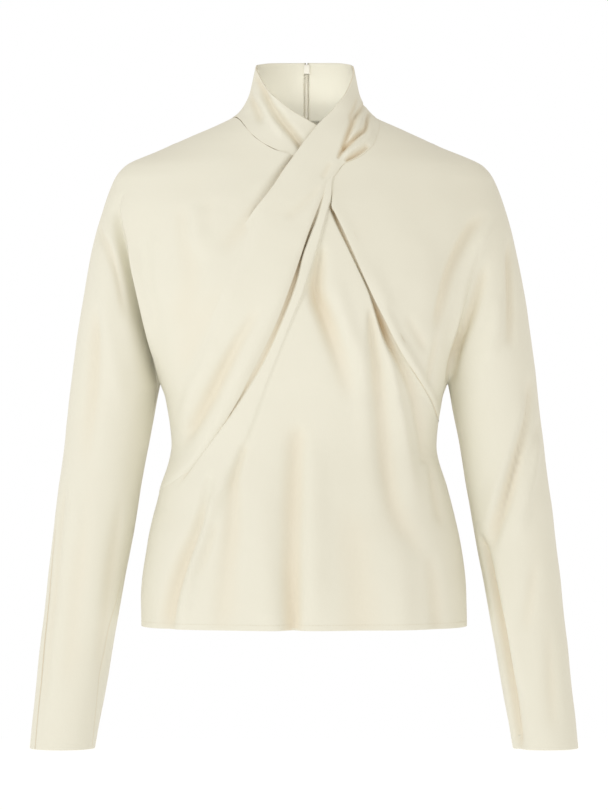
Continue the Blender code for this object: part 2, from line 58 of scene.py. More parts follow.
class Profile:
    """A short table of sections; each named column is read at any station by a smooth curve."""

    def __init__(self, columns, *rows):
        table = np.array(sorted(rows), float)
        self.stations = table[:, 0]
        self.values = dict(zip(columns.split()[1:], table[:, 1:].T))

    def __call__(self, column, station):
        knots, values = self.stations, self.values[column]
        step = np.diff(knots)
        rise = np.diff(values) / step
        slope = np.zeros_like(values)
        turning = rise[:-1] * rise[1:] <= 0
        total = np.where(turning, 1.0, rise[:-1] + rise[1:])
        slope[1:-1] = np.where(turning, 0.0, 2 * rise[:-1] * rise[1:] / total)
        slope[0], slope[-1] = rise[0], rise[-1]
        place = np.clip(np.asarray(station, float), knots[0], knots[-1])
        k = np.clip(np.searchsorted(knots, place, side="right") - 1, 0, len(step) - 1)
        t = (place - knots[k]) / step[k]
        return ((1 + 2 * t) * (1 - t) ** 2 * values[k] + t * (1 - t) ** 2 * step[k] * slope[k]
                + t * t * (3 - 2 * t) * values[k + 1] + t * t * (t - 1) * step[k] * slope[k + 1])


def smooth_step(value):
    value = np.clip(value, 0.0, 1.0)
    return value * value * (3 - 2 * value)


print("a smooth step, a quarter of the way:", float(smooth_step(0.25)))

# %% [markdown]
# ## The body and the sleeves
# The trunk is a rounded section that narrows at the waist. The sleeve leaves it below the
# shoulder in one piece with the front, as a dolman sleeve does, so there is no armhole seam. Two
# tubes could be joined by a boolean, but their seam would be hard. Here one formula gives the
# depth of both and blends them, so every piece that lies on this form meets its neighbours.

# %% Sections of the trunk and the sleeve
BODY = Profile(
    "height half_width front back square lean",
    (-0.559, 0.1790, 0.113, 0.112, 2.30, 0.0),
    (-0.530, 0.1790, 0.114, 0.114, 2.30, 0.0),
    (-0.465, 0.1715, 0.110, 0.108, 2.30, 0.0),
    (-0.410, 0.1580, 0.102, 0.095, 2.30, 0.0),
    (-0.360, 0.1455, 0.097, 0.086, 2.30, 0.0),
    (-0.310, 0.1523, 0.101, 0.088, 2.35, 0.0),
    (-0.294, 0.1580, 0.104, 0.090, 2.35, 0.0),
    (-0.250, 0.1700, 0.111, 0.097, 2.40, 0.0),
    (-0.200, 0.1830, 0.1155, 0.103, 2.40, 0.0),
    (-0.150, 0.1950, 0.110, 0.105, 2.30, 0.0),
    (-0.100, 0.2070, 0.099, 0.100, 2.15, 0.0),
    (-0.070, 0.2065, 0.0885, 0.092, 2.00, 0.0),
    (-0.056, 0.1980, 0.083, 0.088, 1.95, 0.0005),
    (-0.036, 0.1555, 0.0755, 0.081, 1.85, 0.0015),
    (-0.023, 0.1265, 0.071, 0.075, 1.80, 0.0022),
    (-0.010, 0.0970, 0.066, 0.067, 1.80, 0.0030),
    (0.000, 0.0770, 0.063, 0.063, 1.90, 0.0040),
    (0.010, 0.0672, 0.0617, 0.061, 2.00, 0.0050),
    (0.023, 0.0604, 0.0600, 0.058, 2.00, 0.0065),
    (0.036, 0.0570, 0.0585, 0.0565, 2.00, 0.0080),
    (0.062, 0.0515, 0.0570, 0.0550, 2.00, 0.0110),
)
SLEEVE = Profile(
    "height outer inner depth forward",
    (-0.6925, 0.3008, 0.2290, 0.0345, 0.014),
    (-0.620, 0.2935, 0.2160, 0.0370, 0.010),
    (-0.532, 0.2840, 0.2010, 0.0400, 0.006),
    (-0.444, 0.2740, 0.1850, 0.0430, 0.003),
    (-0.356, 0.2630, 0.1700, 0.0465, 0.001),
    (-0.294, 0.2560, 0.1580, 0.0490, 0.0),
    (-0.250, 0.2505, 0.1495, 0.0505, 0.0),
    (-0.200, 0.2430, 0.1390, 0.0515, 0.0),
    (-0.150, 0.2335, 0.1265, 0.0515, 0.0),
    (-0.100, 0.2205, 0.1115, 0.0480, 0.0),
    (-0.070, 0.2090, 0.0970, 0.0400, 0.0),
    (-0.056, 0.1980, 0.1020, 0.0300, 0.0),
    (-0.030, 0.1430, 0.0970, 0.0, 0.0),
)
ARM_CREASE = Profile(
    "height place",
    (-0.294, 0.158), (-0.250, 0.167), (-0.200, 0.179), (-0.150, 0.190), (-0.100, 0.199),
    (-0.075, 0.187), (-0.056, 0.165), (-0.030, 0.112), (-0.0013, 0.0785),
)
# The right armpit: how far the sleeve falls back behind the body's edge, and how far that edge
# rolls forward.
HOLLOW = Profile(
    "height depth roll",
    (-0.350, 0.0, 0.0), (-0.320, 0.009, 0.0), (-0.294, 0.018, 0.001), (-0.270, 0.026, 0.004),
    (-0.220, 0.026, 0.005), (-0.170, 0.021, 0.005), (-0.135, 0.015, 0.004), (-0.110, 0.010, 0.002),
    (-0.098, 0.004, 0.001), (-0.086, 0.0, 0.0),
)
print("half of the waist and of the hem:", BODY("half_width", -0.36), BODY("half_width", -0.559))

# %% Levels and softness of the form
NECK_SEAM = -0.0013
ARMPIT = -0.294
LEFT_TIP = -0.335          # where the left front's folded edge meets the side seam
RIGHT_TIP = -0.375         # where the right front ends at the side seam, under the drape
HEM = -0.559
CUFF = -0.6925
OUTWARD = {"front": -1, "back": 1}
CREASE_SOFTNESS = 0.016    # over which the sleeve's form and the body's run into each other
THIN_SOFTNESS = 1.5        # the same, as a share of the depth, where the cloth has little depth
HOLLOW_START = 0.0022      # over which the hollow beside the body falls to its depth
HOLLOW_REACH = 0.012
HOLLOW_MOST = 0.85         # share of the depth that the hollow may take
ROLL_REACH = 0.014
ARMPIT_OPEN = 0.0016       # half of the space between front and back at the armpit's point
ARMPIT_REACH = 0.006
SEAM_ROUND = 0.00035       # radius of the turn at a sewn edge
SEAM_SPACE = 0.00003       # left between the turned edges of a side seam
PROBE = 0.0006             # step over which the form's slope is measured
WIDTH_RANGE = (0.04, 0.32, 561)   # where the outer side is looked for, and in how many places
HALVINGS = 24
print("from the neck seam to the hem:", round(NECK_SEAM - HEM, 3))

# %% Depth of the cloth


def rounded(share, power):
    """Depth of a rounded section, 1 at its middle and 0 at its side; below 0 outside it."""
    inside = (1 - np.clip(share, 0, 1) ** power) ** (1 / power)
    return inside - 2 * np.maximum(share - 1, 0)


def cloth_depth(x, z, face):
    """How far the cloth stands in front of (or behind) the side seams at a place."""
    across = np.abs(x)
    trunk = BODY(face, z) * rounded(across / BODY("half_width", z), BODY("square", z))
    middle = (SLEEVE("outer", z) + SLEEVE("inner", z)) / 2
    half = (SLEEVE("outer", z) - SLEEVE("inner", z)) / 2
    arm = SLEEVE("depth", z) * rounded(np.abs(across - middle) / half, 2.0)
    arm = np.where(SLEEVE("depth", z) > 0, arm, -1.0)
    soft = np.minimum(CREASE_SOFTNESS, THIN_SOFTNESS * np.maximum(np.maximum(trunk, arm), 1e-6))
    blend = np.maximum(soft - np.abs(trunk - arm), 0) / soft
    depth = np.maximum(trunk, arm) + soft * blend ** 2 / 4
    if face == "back":
        return depth
    edge = np.where(z < ARMPIT, SLEEVE("inner", z), ARM_CREASE("place", z))
    beyond = across - edge
    fallen = smooth_step(beyond / HOLLOW_START)
    hollow = HOLLOW("depth", z) * fallen * np.exp(-(beyond / HOLLOW_REACH) ** 2)
    hollow = np.minimum(hollow, HOLLOW_MOST * np.maximum(depth, 0))
    roll = HOLLOW("roll", z) * (1 - fallen) * np.exp(-(beyond / ROLL_REACH) ** 2)
    return depth + np.where(x < 0, roll - hollow, 0)


def outer_side(height):
    """Half of the garment's width at each height: where the cloth has no more depth."""
    places = np.linspace(*WIDTH_RANGE)[None, :]
    height = height[:, None]
    some = cloth_depth(places, height, "back") > 0
    last = places.shape[1] - 1 - np.argmax(some[:, ::-1], axis=1)
    inside, outside = places[0, last][:, None], places[0, last + 1][:, None]
    for _ in range(HALVINGS):
        middle = (inside + outside) / 2
        some = cloth_depth(middle, height, "back") > 0
        inside, outside = np.where(some, middle, inside), np.where(some, outside, middle)
    return inside[:, 0]


print("half of the width at the cuffs:", outer_side(np.array([CUFF])).round(4))

# %% Points and directions on the form


def form_point(x, z, face):
    """The plain form's surface at a place in the front view."""
    beside = (np.abs(x) > BODY("half_width", z)) & (z < ARMPIT)
    forward = BODY("lean", z) + np.where(beside, SLEEVE("forward", z), 0.0)
    near_armpit = np.hypot(np.abs(x) - BODY("half_width", ARMPIT), z - ARMPIT)
    least = SEAM_ROUND + SEAM_SPACE + ARMPIT_OPEN * smooth_step(1 - near_armpit / ARMPIT_REACH)
    depth = np.maximum(cloth_depth(x, z, face), least)
    return np.stack((x, OUTWARD[face] * depth - forward, z), axis=-1)


def form_normal(x, z, face):
    """Direction out of the form, from the slopes of its surface."""
    slope_x, slope_z = (
        (cloth_depth(x + step_x, z + step_z, face) - cloth_depth(x - step_x, z - step_z, face))
        / (2 * PROBE) for step_x, step_z in ((PROBE, 0), (0, PROBE)))
    normal = np.stack((-slope_x, OUTWARD[face] * np.ones_like(slope_x), -slope_z), axis=-1)
    return normal / np.linalg.norm(normal, axis=-1, keepdims=True)


def on_form(x, z, face):
    return form_point(x, z, face), form_normal(x, z, face)


def raised(place, normal, height):
    """Places moved out along their normals."""
    return place + height[..., None] * normal


def between(first, last, share):
    """A grid whose rows run from a first value to a last one, by shares from 0 to 1."""
    return first[:, None] * (1 - share) + last[:, None] * share


def across_at(turn, z):
    """How far across a place lies, by how far round the body it is (degrees from the middle)."""
    return BODY("half_width", z) * np.sin(np.radians(turn))


waist = form_point(np.array(0.0), np.array(-0.36), "front")
print("front of the waist:", waist.round(3))

# %% [markdown]
# ## Folds placed one by one
# A cloth simulation would give folds, but other ones each time a size changes. Here every
# crease is a path on the form with a height and a reach at each of its points, so ridges and
# troughs fade, bend and vary as they do on the worn top. Heights are in millimetres.

# %% Lay a fold along a path
MM = 0.001


def smooth_path(points, count):
    """Points along a smooth curve through a few given ones, with all their columns."""
    given = np.asarray(points, float)
    padded = np.vstack((2 * given[0] - given[1], given, 2 * given[-1] - given[-2]))
    station = np.linspace(0, len(given) - 1, count)
    k = np.clip(station.astype(int), 0, len(given) - 2)
    t = (station - k)[:, None]
    a, b, c, d = padded[k], padded[k + 1], padded[k + 2], padded[k + 3]
    return (b + (c - a) * t / 2 + (a - 2.5 * b + 2 * c - d / 2) * t ** 2
            + (1.5 * (b - c) + (d - a) / 2) * t ** 3)


class Fold:
    """A soft ridge (height above 0) or trough along a path of (x, z, height, reach) in mm.

    right and left scale its reach to the wearer's right and left. A step is raised all along
    its right side and drops over its reach. fade is the share of its length over which a fold
    rises and dies away at its ends.
    """

    POINTS = 12          # along it, for each one given
    EXTENT = 3.2         # reaches from its path to where nothing is left of it
    STEP_EXTENT = 8.0    # reaches over which a step's raised side dies away
    BEYOND = 0.6         # how far past the nearest point a place is still measured

    def __init__(self, *path, face="front", right=1.0, left=1.0, step=False, fade=0.25):
        line = smooth_path(path, self.POINTS * len(path))
        x, z, height, self.reach = (line * MM).T
        self.place, normal = on_form(x, z, face)
        self.along = np.gradient(self.place, axis=0)
        across = np.cross(self.along, normal)
        across *= np.where(across[:, :1] < 0, -1, 1)
        self.across = across / np.linalg.norm(across, axis=1, keepdims=True)
        share = np.linspace(0, 1, len(x))
        self.height = height * smooth_step(share / fade) * smooth_step((1 - share) / fade)
        self.right, self.left, self.step = right, left, step

    def rise(self, places):
        """Height of this fold at each place, and how much of it is a narrow crease for painted shade.
        """
        total, narrow = np.zeros(len(places)), np.zeros(len(places))
        widest = max(self.right, self.left, self.STEP_EXTENT if self.step else 1.0)
        widest = self.EXTENT * self.reach.max() * widest
        near = np.all((places > self.place.min(0) - widest)
                      & (places < self.place.max(0) + widest), axis=1)
        if not near.any():
            return total, narrow
        here = places[near]
        apart = here[:, None, :] - self.place[None, :, :]
        k = np.argmin(np.einsum("ijk,ijk->ij", apart, apart), axis=1)
        offset = apart[np.arange(len(here)), k]
        ahead = np.einsum("ij,ij->i", offset, self.along[k]) / np.sum(self.along[k] ** 2, axis=1)
        ahead = np.clip(ahead, -self.BEYOND, self.BEYOND)
        offset = offset - ahead[:, None] * self.along[k]
        height, reach = (np.interp(k + ahead, np.arange(len(self.place)), values)
                         for values in (self.height, self.reach))
        side = np.einsum("ij,ij->i", offset, self.across[k])
        away = np.linalg.norm(offset, axis=1)
        if self.step:
            drop = 1 - smooth_step(side / reach + 0.5)
            total[near] = height * drop * np.exp(-(away / (self.STEP_EXTENT * reach)) ** 2)
        else:
            fine = smooth_step((FINE_REACH - reach) / FINE_REACH * 2)
            turned = smooth_step(0.5 + side / reach)
            reach = reach * (self.right + (self.left - self.right) * turned)
            total[near] = height * np.exp(-(away / reach) ** 2)
            narrow[near] = -np.minimum(total[near], 0) * fine
        return total, narrow


print("points along a fold, for each one given:", Fold.POINTS)

# %% Add folds and waves up
# Long, very shallow waves that keep any broad face of the cloth from lying dead flat: height,
# waves per metre across, down and through, and where each starts.
WAVES = ((0.00022, 13, 5, 5, 0.4), (0.00020, -7, 12, 6, 2.1), (0.00007, 25, -11, 9, 4.0),
         (0.00004, 18, 29, -6, 5.2))


def calm_waves(flat):
    return sum(height * np.sin(2 * np.pi * (flat @ np.array([across, through, down])) + start)
               for height, across, down, through, start in WAVES)


FINE_REACH = 0.0050      # folds of less reach count as creases, which get painted shade
CREASE_SHADE_DEPTH = 0.009       # depth at which a crease gets its full painted shade
HOLLOW_SHADE_DEPTH = 0.012      # the same for the painted shade of a hollow
PORTION = 20000          # places worked out at once, to save memory
print("waves over the cloth:", len(WAVES))


def fold_rise(places, folds):
    """Height of the cloth over the form from folds and waves, and painted shade for hollows and
    creases.
    """
    flat = places.reshape(-1, 3)
    total, narrow = calm_waves(flat), np.zeros(len(flat))
    for start in range(0, len(flat), PORTION):
        part = slice(start, start + PORTION)
        for fold in folds:
            rise, fine = fold.rise(flat[part])
            total[part] += rise
            narrow[part] += fine
    total, narrow = total.reshape(places.shape[:-1]), narrow.reshape(places.shape[:-1])
    # Painted shade: shares by which the hollows and the creases are painted warmer and darker.
    shade = np.clip(-total / HOLLOW_SHADE_DEPTH, 0, 1), np.clip(narrow / CREASE_SHADE_DEPTH, 0, 1)
    return total, shade


# %% [markdown]
# ## The folds of the fronts
# The arms hang down, so troughs run from the armpits up to the shoulders and down the sleeves.
# The drape pulls the waist towards the twist. Sculpted folds would belong to one mesh. These
# belong to the form, so two panels that meet at a seam bend together. Each row is a place across
# and a height on the garment, the fold's own height there and its reach, all in millimetres.

# %% Folds of the fronts and sleeves
BODY_FOLDS = (
    # Right armpit and chest.
    Fold((-190, -130, 1, 8), (-180, -180, 2.5, 9), (-168, -235, 3, 9), (-154, -285, 2.5, 9)),
    Fold((-228, -120, 1, 8), (-224, -165, 2, 9), (-216, -225, 3, 10), (-204, -285, 3, 10),
         (-196, -340, 1, 10)),
    Fold((-224, -190, -1, 7), (-228, -240, -5, 8), (-231, -300, -5.5, 9), (-236, -356, -3, 9),
         (-240, -400, -1, 9)),
    Fold((-222, -108, -1, 4.5), (-223, -128, -3.4, 5), (-213, -150, -4, 5), (-204, -172, -4, 5.5),
         (-197, -205, -3, 6), (-194, -235, -1, 7)),
    Fold((-131, -92, -0.8, 9), (-131, -118, -2.4, 9), (-129, -142, -2.6, 10),
         (-122, -180, -2.8, 13), (-132, -215, -2.8, 14), (-142, -250, -2, 13), fade=0.2),
    Fold((-103, -88, -0.6, 9), (-103, -112, -1.6, 9), (-105, -140, -0.8, 10), fade=0.35),
    Fold((-160, -118, 1, 12), (-158, -170, 3, 12), (-156, -215, 1.5, 12)),
    Fold((-117, -98, 0.6, 9), (-117, -125, 1.3, 9), (-112, -160, 1, 11)),
    # Left armpit: several folds fan out from it.
    Fold((207, -104, -2, 7), (182, -126, -5.5, 8), (161, -167, -6.5, 8), (148, -213, -6, 8),
         (143, -249, -3, 7)),
    Fold((216, -112, 2, 8), (192, -140, 5, 9), (174, -180, 5.5, 10), (165, -230, 5, 9),
         (158, -275, 3, 7)),
    Fold((200, -155, -2, 6), (188, -197, -6, 7), (173, -235, -8, 7), (161, -268, -7, 6),
         (157, -296, -3, 6), fade=0.15),
    Fold((223, -125, -2, 6), (225, -160, -5.5, 6), (226, -205, -6, 6), (225, -240, -4, 6),
         (224, -262, -1, 6)),
    Fold((212, -190, 2, 7), (208, -235, 4, 8), (196, -275, 3, 8)),
    Fold((146, -231, -1, 5), (140, -266, -3.2, 5.5), (133, -301, -2, 5)),
    Fold((126, -120, 1, 16), (134, -175, 2, 16), (128, -225, 1, 14)),
    # Left sleeve: long diagonals.
    Fold((249, -276, -1, 7), (247, -306, -5, 7), (240, -346, -9, 7.5), (223, -409, -10.5, 7.5),
         (209, -450, -9, 7.5), (202, -488, -5, 7.5), left=0.8, right=1.2),
    Fold((248, -290, 2, 8), (238, -330, 5, 9), (224, -375, 5, 9), (208, -425, 4, 9),
         (200, -460, 2, 9)),
    Fold((256, -335, 1, 7), (251, -375, 4.5, 8), (239, -425, 5.5, 8), (226, -475, 4, 9)),
    Fold((190, -450, -4, 6), (203, -509, -12, 6.5), (214, -567, -12, 7), (225, -633, -10, 7),
         (236, -705, -7, 7), right=0.7, left=1.3, fade=0.1),
    Fold((206, -470, 2, 7), (216, -520, 3, 8), (228, -580, 3.5, 9), (242, -650, 3, 9)),
    Fold((258, -330, -1.5, 5), (249, -369, -3, 5.5), (240, -409, -2, 5)),
    Fold((254, -480, -2, 6), (246, -530, -3.2, 7), (240, -570, -1.5, 7)),
    Fold((266, -540, -1, 8), (270, -620, -3, 8), (273, -680, -2, 8)),
    # Right sleeve, below the elbow.
    Fold((-196, -400, -1, 7), (-206, -470, -2.5, 8), (-216, -550, -3, 8), (-228, -640, -1.5, 7)),
    Fold((-262, -330, 1, 9), (-254, -400, 2.5, 10), (-250, -470, 2, 10)),
    Fold((-236, -400, -1, 9), (-244, -480, -2.8, 10), (-252, -570, -2.2, 10), (-262, -650, -1, 9)),
    Fold((-255, -380, -1, 4), (-265, -430, -2.5, 4.5), (-272, -500, -3, 5), (-281, -590, -2.5, 5),
         (-289, -690, -2, 5), left=1.5),
    # Where the drape's upper edge fades into the right front.
    Fold((-44, -92, -1, 6), (-58, -113, -2.8, 6.5), (-70, -130, -3, 7.5), (-82, -144, -2, 8.5),
         (-96, -160, -1, 9), fade=0.3),
    # Chest and shoulders.
    Fold((-95, -95, 0.6, 16), (-105, -130, 1.2, 18), (-100, -170, 0.8, 18)),
    Fold((-80, -175, -1, 14), (-105, -215, -2, 16), (-125, -255, -2, 14), (-138, -290, -1, 12)),
    Fold((95, -90, 0.6, 20), (108, -150, 1.6, 22), (112, -200, 1, 18)),
)
print("folds of the fronts:", len(BODY_FOLDS))

# %% Folds of the back
BACK_FOLDS = tuple(Fold(*path, face="back") for path in (
    ((188, -120, -2, 9), (180, -170, -4, 9), (170, -225, -5, 9), (160, -280, -4, 8)),
    ((-188, -115, -2, 9), (-178, -175, -5, 9), (-168, -235, -5, 9), (-160, -285, -3, 8)),
    ((150, -300, -1, 9), (110, -330, -4, 9), (60, -352, -4, 9), (20, -362, -1, 9)),
    ((-148, -310, -1, 9), (-112, -345, -4, 9), (-66, -366, -3.5, 9), (-24, -372, -1, 8)),
    ((140, -345, 1, 9), (100, -368, 3.5, 10), (50, -380, 2.5, 9)),
    ((-135, -352, 1, 9), (-96, -385, 3.5, 10), (-48, -395, 2, 9)),
    ((60, -400, 1, 16), (64, -470, 4, 20), (70, -540, 5, 22), (72, -580, 5, 22)),
    ((-70, -410, 1, 16), (-74, -480, 4, 18), (-80, -545, 4.5, 20), (-82, -580, 4.5, 20)),
    ((8, -400, -1, 13), (10, -470, -3.5, 14), (6, -540, -4, 16), (6, -580, -4, 16)),
    ((240, -300, -1, 8), (232, -360, -4, 8), (222, -430, -4, 8), (216, -500, -2, 8)),
    ((-238, -290, -1, 8), (-228, -350, -4, 9), (-220, -410, -3.5, 8), (-214, -470, -1, 8)),
    ((250, -420, 1, 9), (258, -500, 3.5, 10), (266, -590, 3, 10)),
    ((-248, -400, 1, 9), (-256, -490, 3.5, 10), (-262, -580, 2, 10)),
    ((100, -60, -0.5, 14), (120, -110, -2.5, 16), (110, -170, -2, 16)),
    ((-96, -70, -0.5, 14), (-118, -125, -2.5, 16), (-104, -190, -2, 14)),
))
ALL_FOLDS = BODY_FOLDS + BACK_FOLDS
print("folds of the back:", len(BACK_FOLDS))

# %% [markdown]
# ## Edges that turn
# No cloth edge is raw. At a seam it turns in by a right angle, at a hem or a folded edge it
# turns right round. One strip of points along an edge gives both, by the angle it turns.

# %% Turn an edge
ARC_STEPS = 6
EDGE_COLUMNS = ARC_STEPS + 2
SEAM_TAIL = 0.003
HEM_ROUND = 0.0006
HEM_TURNED = 0.016       # how far up inside a hem reaches
print("points across a turned edge:", EDGE_COLUMNS)


def turned_edge(edge, before, normal, radius, angle, tail):
    """Rows of points that carry an edge round by an angle (degrees) and on by a tail."""
    count = len(edge)
    radius, angle, tail = (np.broadcast_to(np.asarray(v, float), (count,))[:, None]
                           for v in (radius, np.radians(angle), tail))
    away = edge - before
    away -= np.einsum("ij,ij->i", away, normal)[:, None] * normal
    away /= np.linalg.norm(away, axis=1, keepdims=True) + 1e-12
    lines = [edge]
    for share in np.linspace(0, 1, ARC_STEPS + 1)[1:]:
        turn = angle * share
        lines.append(edge + radius * (np.sin(turn) * away - (1 - np.cos(turn)) * normal))
    on = np.cos(angle) * away - np.sin(angle) * normal
    lines.append(lines[-1] + tail * on)
    return np.stack(lines, axis=1)


def side_edge(grid, normals, side, radius, angle, tail):
    """The turned edge along one side of a grid: its first or last column or row."""
    if side.endswith("row"):
        grid, normals = grid.swapaxes(0, 1), normals.swapaxes(0, 1)
    last, before = (0, 1) if side.startswith("first") else (-1, -2)
    return turned_edge(grid[:, last], grid[:, before], normals[:, last], radius, angle, tail)


def seam_edge(grid, normals, side, tail=SEAM_TAIL):
    return side_edge(grid, normals, side, SEAM_ROUND, 90, tail)


def hem_layer(grid, normals):
    """The last row turned right round, and an inner layer that follows the rows back up."""
    arc = side_edge(grid, normals, "last row", HEM_ROUND, 180, 0.0)[:, :-1]
    up = np.linalg.norm(grid - grid[-1:], axis=-1).min(axis=1)
    inside = (up > 0.001) & (up < HEM_TURNED)
    layer = (grid - 2 * HEM_ROUND * normals)[inside][::-1]
    return np.concatenate((arc, layer.transpose(1, 0, 2)), axis=1)


# %% [markdown]
# ## From points to cloth
# A piece is a few grids of points, welded where they meet. Its UV map is measured along the
# cloth in metres, so the weave keeps its size and follows every fold.

# %% Make a sheet
CLOTH = 0.0007
EDGE_CREASE_SHADE = 0.45       # how much painted crease shade the turned part of an edge gets
WELD = 2e-5
SLIVER = 1e-6
cloth_pieces = {}


def flat_places(grid):
    """Where each point of a grid lies on the flat cloth, in metres, with the weave kept square."""
    lengths = np.linalg.norm(np.diff(grid, axis=1), axis=-1)
    along = np.concatenate((np.zeros((len(grid), 1)), np.cumsum(lengths, axis=1)), axis=1)
    forward = np.gradient(grid, axis=1)
    forward /= np.maximum(np.linalg.norm(forward, axis=-1, keepdims=True), 1e-9)
    step = np.diff(grid, axis=0)
    slide = np.einsum("ijk,ijk->ij", step, forward[1:])
    across = np.sqrt(np.maximum(np.einsum("ijk,ijk->ij", step, step) - slide ** 2, 0))
    shift = np.concatenate(([0], np.cumsum(np.mean(slide - np.diff(along, axis=0), axis=1))))
    down = np.concatenate((np.zeros((1, grid.shape[1])), np.cumsum(across, axis=0)))
    return np.stack((along + shift[:, None], down), axis=-1)


def sheet_mesh(name, grids, shades):
    """One mesh of all the grids, with the place of each point on the flat cloth as its UV.

    How much painted shade the hollows and creases of the first grids get is kept at the points
    for the finish. The turned part of an edge gets painted crease shade too.
    """
    points, faces, cloth_place, hollow_shades, crease_shades = [], [], [], [], []
    for number, grid in enumerate(grids):
        rows, columns = grid.shape[:2]
        index = len(points) + np.arange(rows * columns).reshape(rows, columns)
        points.extend(grid.reshape(-1, 3).tolist())
        deep, crease = shades[number] if number < len(shades) else (np.zeros((rows, columns)),) * 2
        # Painted shade along the turned part of an edge.
        if columns == EDGE_COLUMNS:
            crease = np.tile(EDGE_CREASE_SHADE * smooth_step(np.arange(columns) / 4), (rows, 1))
        hollow_shades.extend(deep.ravel().tolist())
        crease_shades.extend(crease.ravel().tolist())
        cloth_place.extend(flat_places(grid).reshape(-1, 2).tolist())
        corners = np.stack((index[:-1, :-1], index[:-1, 1:], index[1:, 1:], index[1:, :-1]), -1)
        faces.extend(corners.reshape(-1, 4).tolist())
    mesh = bpy.data.meshes.new(name)
    mesh.from_pydata(points, [], faces)
    for word, values in (("hollow", hollow_shades), ("crease", crease_shades)):
        mesh.attributes.new(word, "FLOAT", "POINT").data.foreach_set("value", values)
    uv = mesh.uv_layers.new(name="Cloth")
    corner = np.empty(len(mesh.loops), int)
    mesh.loops.foreach_get("vertex_index", corner)
    uv.data.foreach_set("uv", np.asarray(cloth_place)[corner].ravel())
    return mesh


print("wall of a sheet:", CLOTH, "metres")

# %% Weld it and give it a wall


def make_sheet(name, grids, face, shades=()):
    """Weld grids of points into one sheet that faces out in front or behind, and thicken it."""
    mesh = sheet_mesh(name, grids, shades)
    work = bmesh.new()
    work.from_mesh(mesh)
    bmesh.ops.remove_doubles(work, verts=work.verts, dist=WELD)
    bmesh.ops.dissolve_degenerate(work, edges=work.edges, dist=SLIVER)
    bmesh.ops.recalc_face_normals(work, faces=work.faces)
    facing = sum(part.normal.y * part.calc_area() for part in work.faces)
    if facing * OUTWARD[face] < 0:
        bmesh.ops.reverse_faces(work, faces=work.faces)
    area = sum(part.calc_area() for part in work.faces)
    work.to_mesh(mesh)
    work.free()
    mesh.shade_smooth()
    piece = bpy.data.objects.new(name, mesh)
    bpy.context.scene.collection.objects.link(piece)
    wall = piece.modifiers.new("Wall", "SOLIDIFY")
    wall.thickness = CLOTH
    wall.offset = -1
    cloth_pieces[name] = piece
    print(f"{name}: {len(mesh.polygons)} faces, {area:.3f} square metres")


# %% [markdown]
# ## The two upper fronts
# Each front is cut in one with its sleeve. The right one runs under the drape. The left one
# ends in a folded edge from the twist to the side seam, which stands off the lower front. A cut
# through one big mesh would give ragged edges, so each edge is a table of how far across it lies.

# %% Edges of the upper fronts
RIGHT_EDGE = Profile(
    "height place",
    (-0.0013, 0.0760), (-0.0060, 0.0700), (-0.0133, 0.0646), (-0.0243, 0.0556), (-0.0334, 0.0439),
    (-0.0402, 0.0324), (-0.0440, 0.0222), (-0.0500, 0.0050), (-0.0600, -0.010),
    (-0.0800, -0.010), (-0.1000, 0.003), (-0.1500, 0.030), (-0.2000, 0.050),
    (-0.2500, 0.073), (-0.3000, 0.100), (-0.3500, 0.1310), (-0.3750, 0.1460),
)
LEFT_EDGE = Profile(
    "height place",
    (-0.0013, 0.0765), (-0.0117, 0.0818), (-0.0254, 0.0782), (-0.0340, 0.0748),
    (-0.0416, 0.0682), (-0.0488, 0.0593), (-0.0528, 0.0508), (-0.0556, 0.0440),
    (-0.0620, 0.0386), (-0.0684, 0.0332), (-0.0777, 0.0305), (-0.0958, 0.0298),
    (-0.1029, 0.0294), (-0.1120, 0.0336), (-0.1344, 0.0444), (-0.1829, 0.0655), (-0.2171, 0.0816),
    (-0.2599, 0.1034), (-0.2846, 0.1200), (-0.3116, 0.1370), (-0.3350, 0.1478),
)
LEFT_FOLD = Profile(
    "height wide near radius angle",
    (-0.335, -0.0003, 0.0, 0.0003, 90), (-0.290, -0.0003, 0.0, 0.0003, 90),
    (-0.270, 0.0004, 0.0004, 0.0006, 120), (-0.250, 0.0010, 0.0014, 0.0010, 180),
    (-0.225, 0.0012, 0.0020, 0.0010, 180), (-0.200, 0.0010, 0.0006, 0.0008, 180),
    (-0.150, 0.0008, 0.0010, 0.0008, 180), (-0.122, 0.0007, 0.0016, 0.0010, 180),
    (-0.107, 0.0005, 0.0016, 0.0010, 180), (-0.099, 0.0004, 0.0011, 0.0006, 130),
    (-0.086, 0.0002, 0.0002, 0.0003, 90), (-0.075, 0.0, 0.0, 0.0003, 90),
    (-0.0013, 0.0, 0.0, 0.0003, 90),
)
print("the left front's fold stands off at most", LEFT_FOLD.values["near"].max(), "metres")

# %% Folds beside those edges
# The soft trough low on the drape: the right front under it has it too.
LOW_TROUGH = (
    Fold((-46, -206, -1, 6), (-58, -228, -3.2, 6.5), (-70, -248, -5.6, 7), (-84, -274, -7.6, 7.5),
         (-100, -305, -7.6, 8), (-117, -335, -7, 8), (-134, -364, -3.4, 8), fade=0.15),
    Fold((-88, -235, 1, 8), (-104, -270, 2, 9), (-122, -305, 2, 9), (-136, -335, 1, 9)),
)
RIGHT_FOLDS = LOW_TROUGH + (
    Fold((23, -12, -3, 3.6), (6, -33, -4.4, 3.8), (-8, -48, -4.6, 3.8), (-23, -65, -4.2, 4),
         (-35, -82, -3.6, 4.6), (-50, -102, -2.4, 5.5), (-62, -119, -0.8, 6), left=0.6, fade=0.12),
    Fold((4, -16, 0.6, 5), (-16, -40, 1.8, 6), (-38, -68, 2, 7), (-60, -98, 1.6, 8)),
)
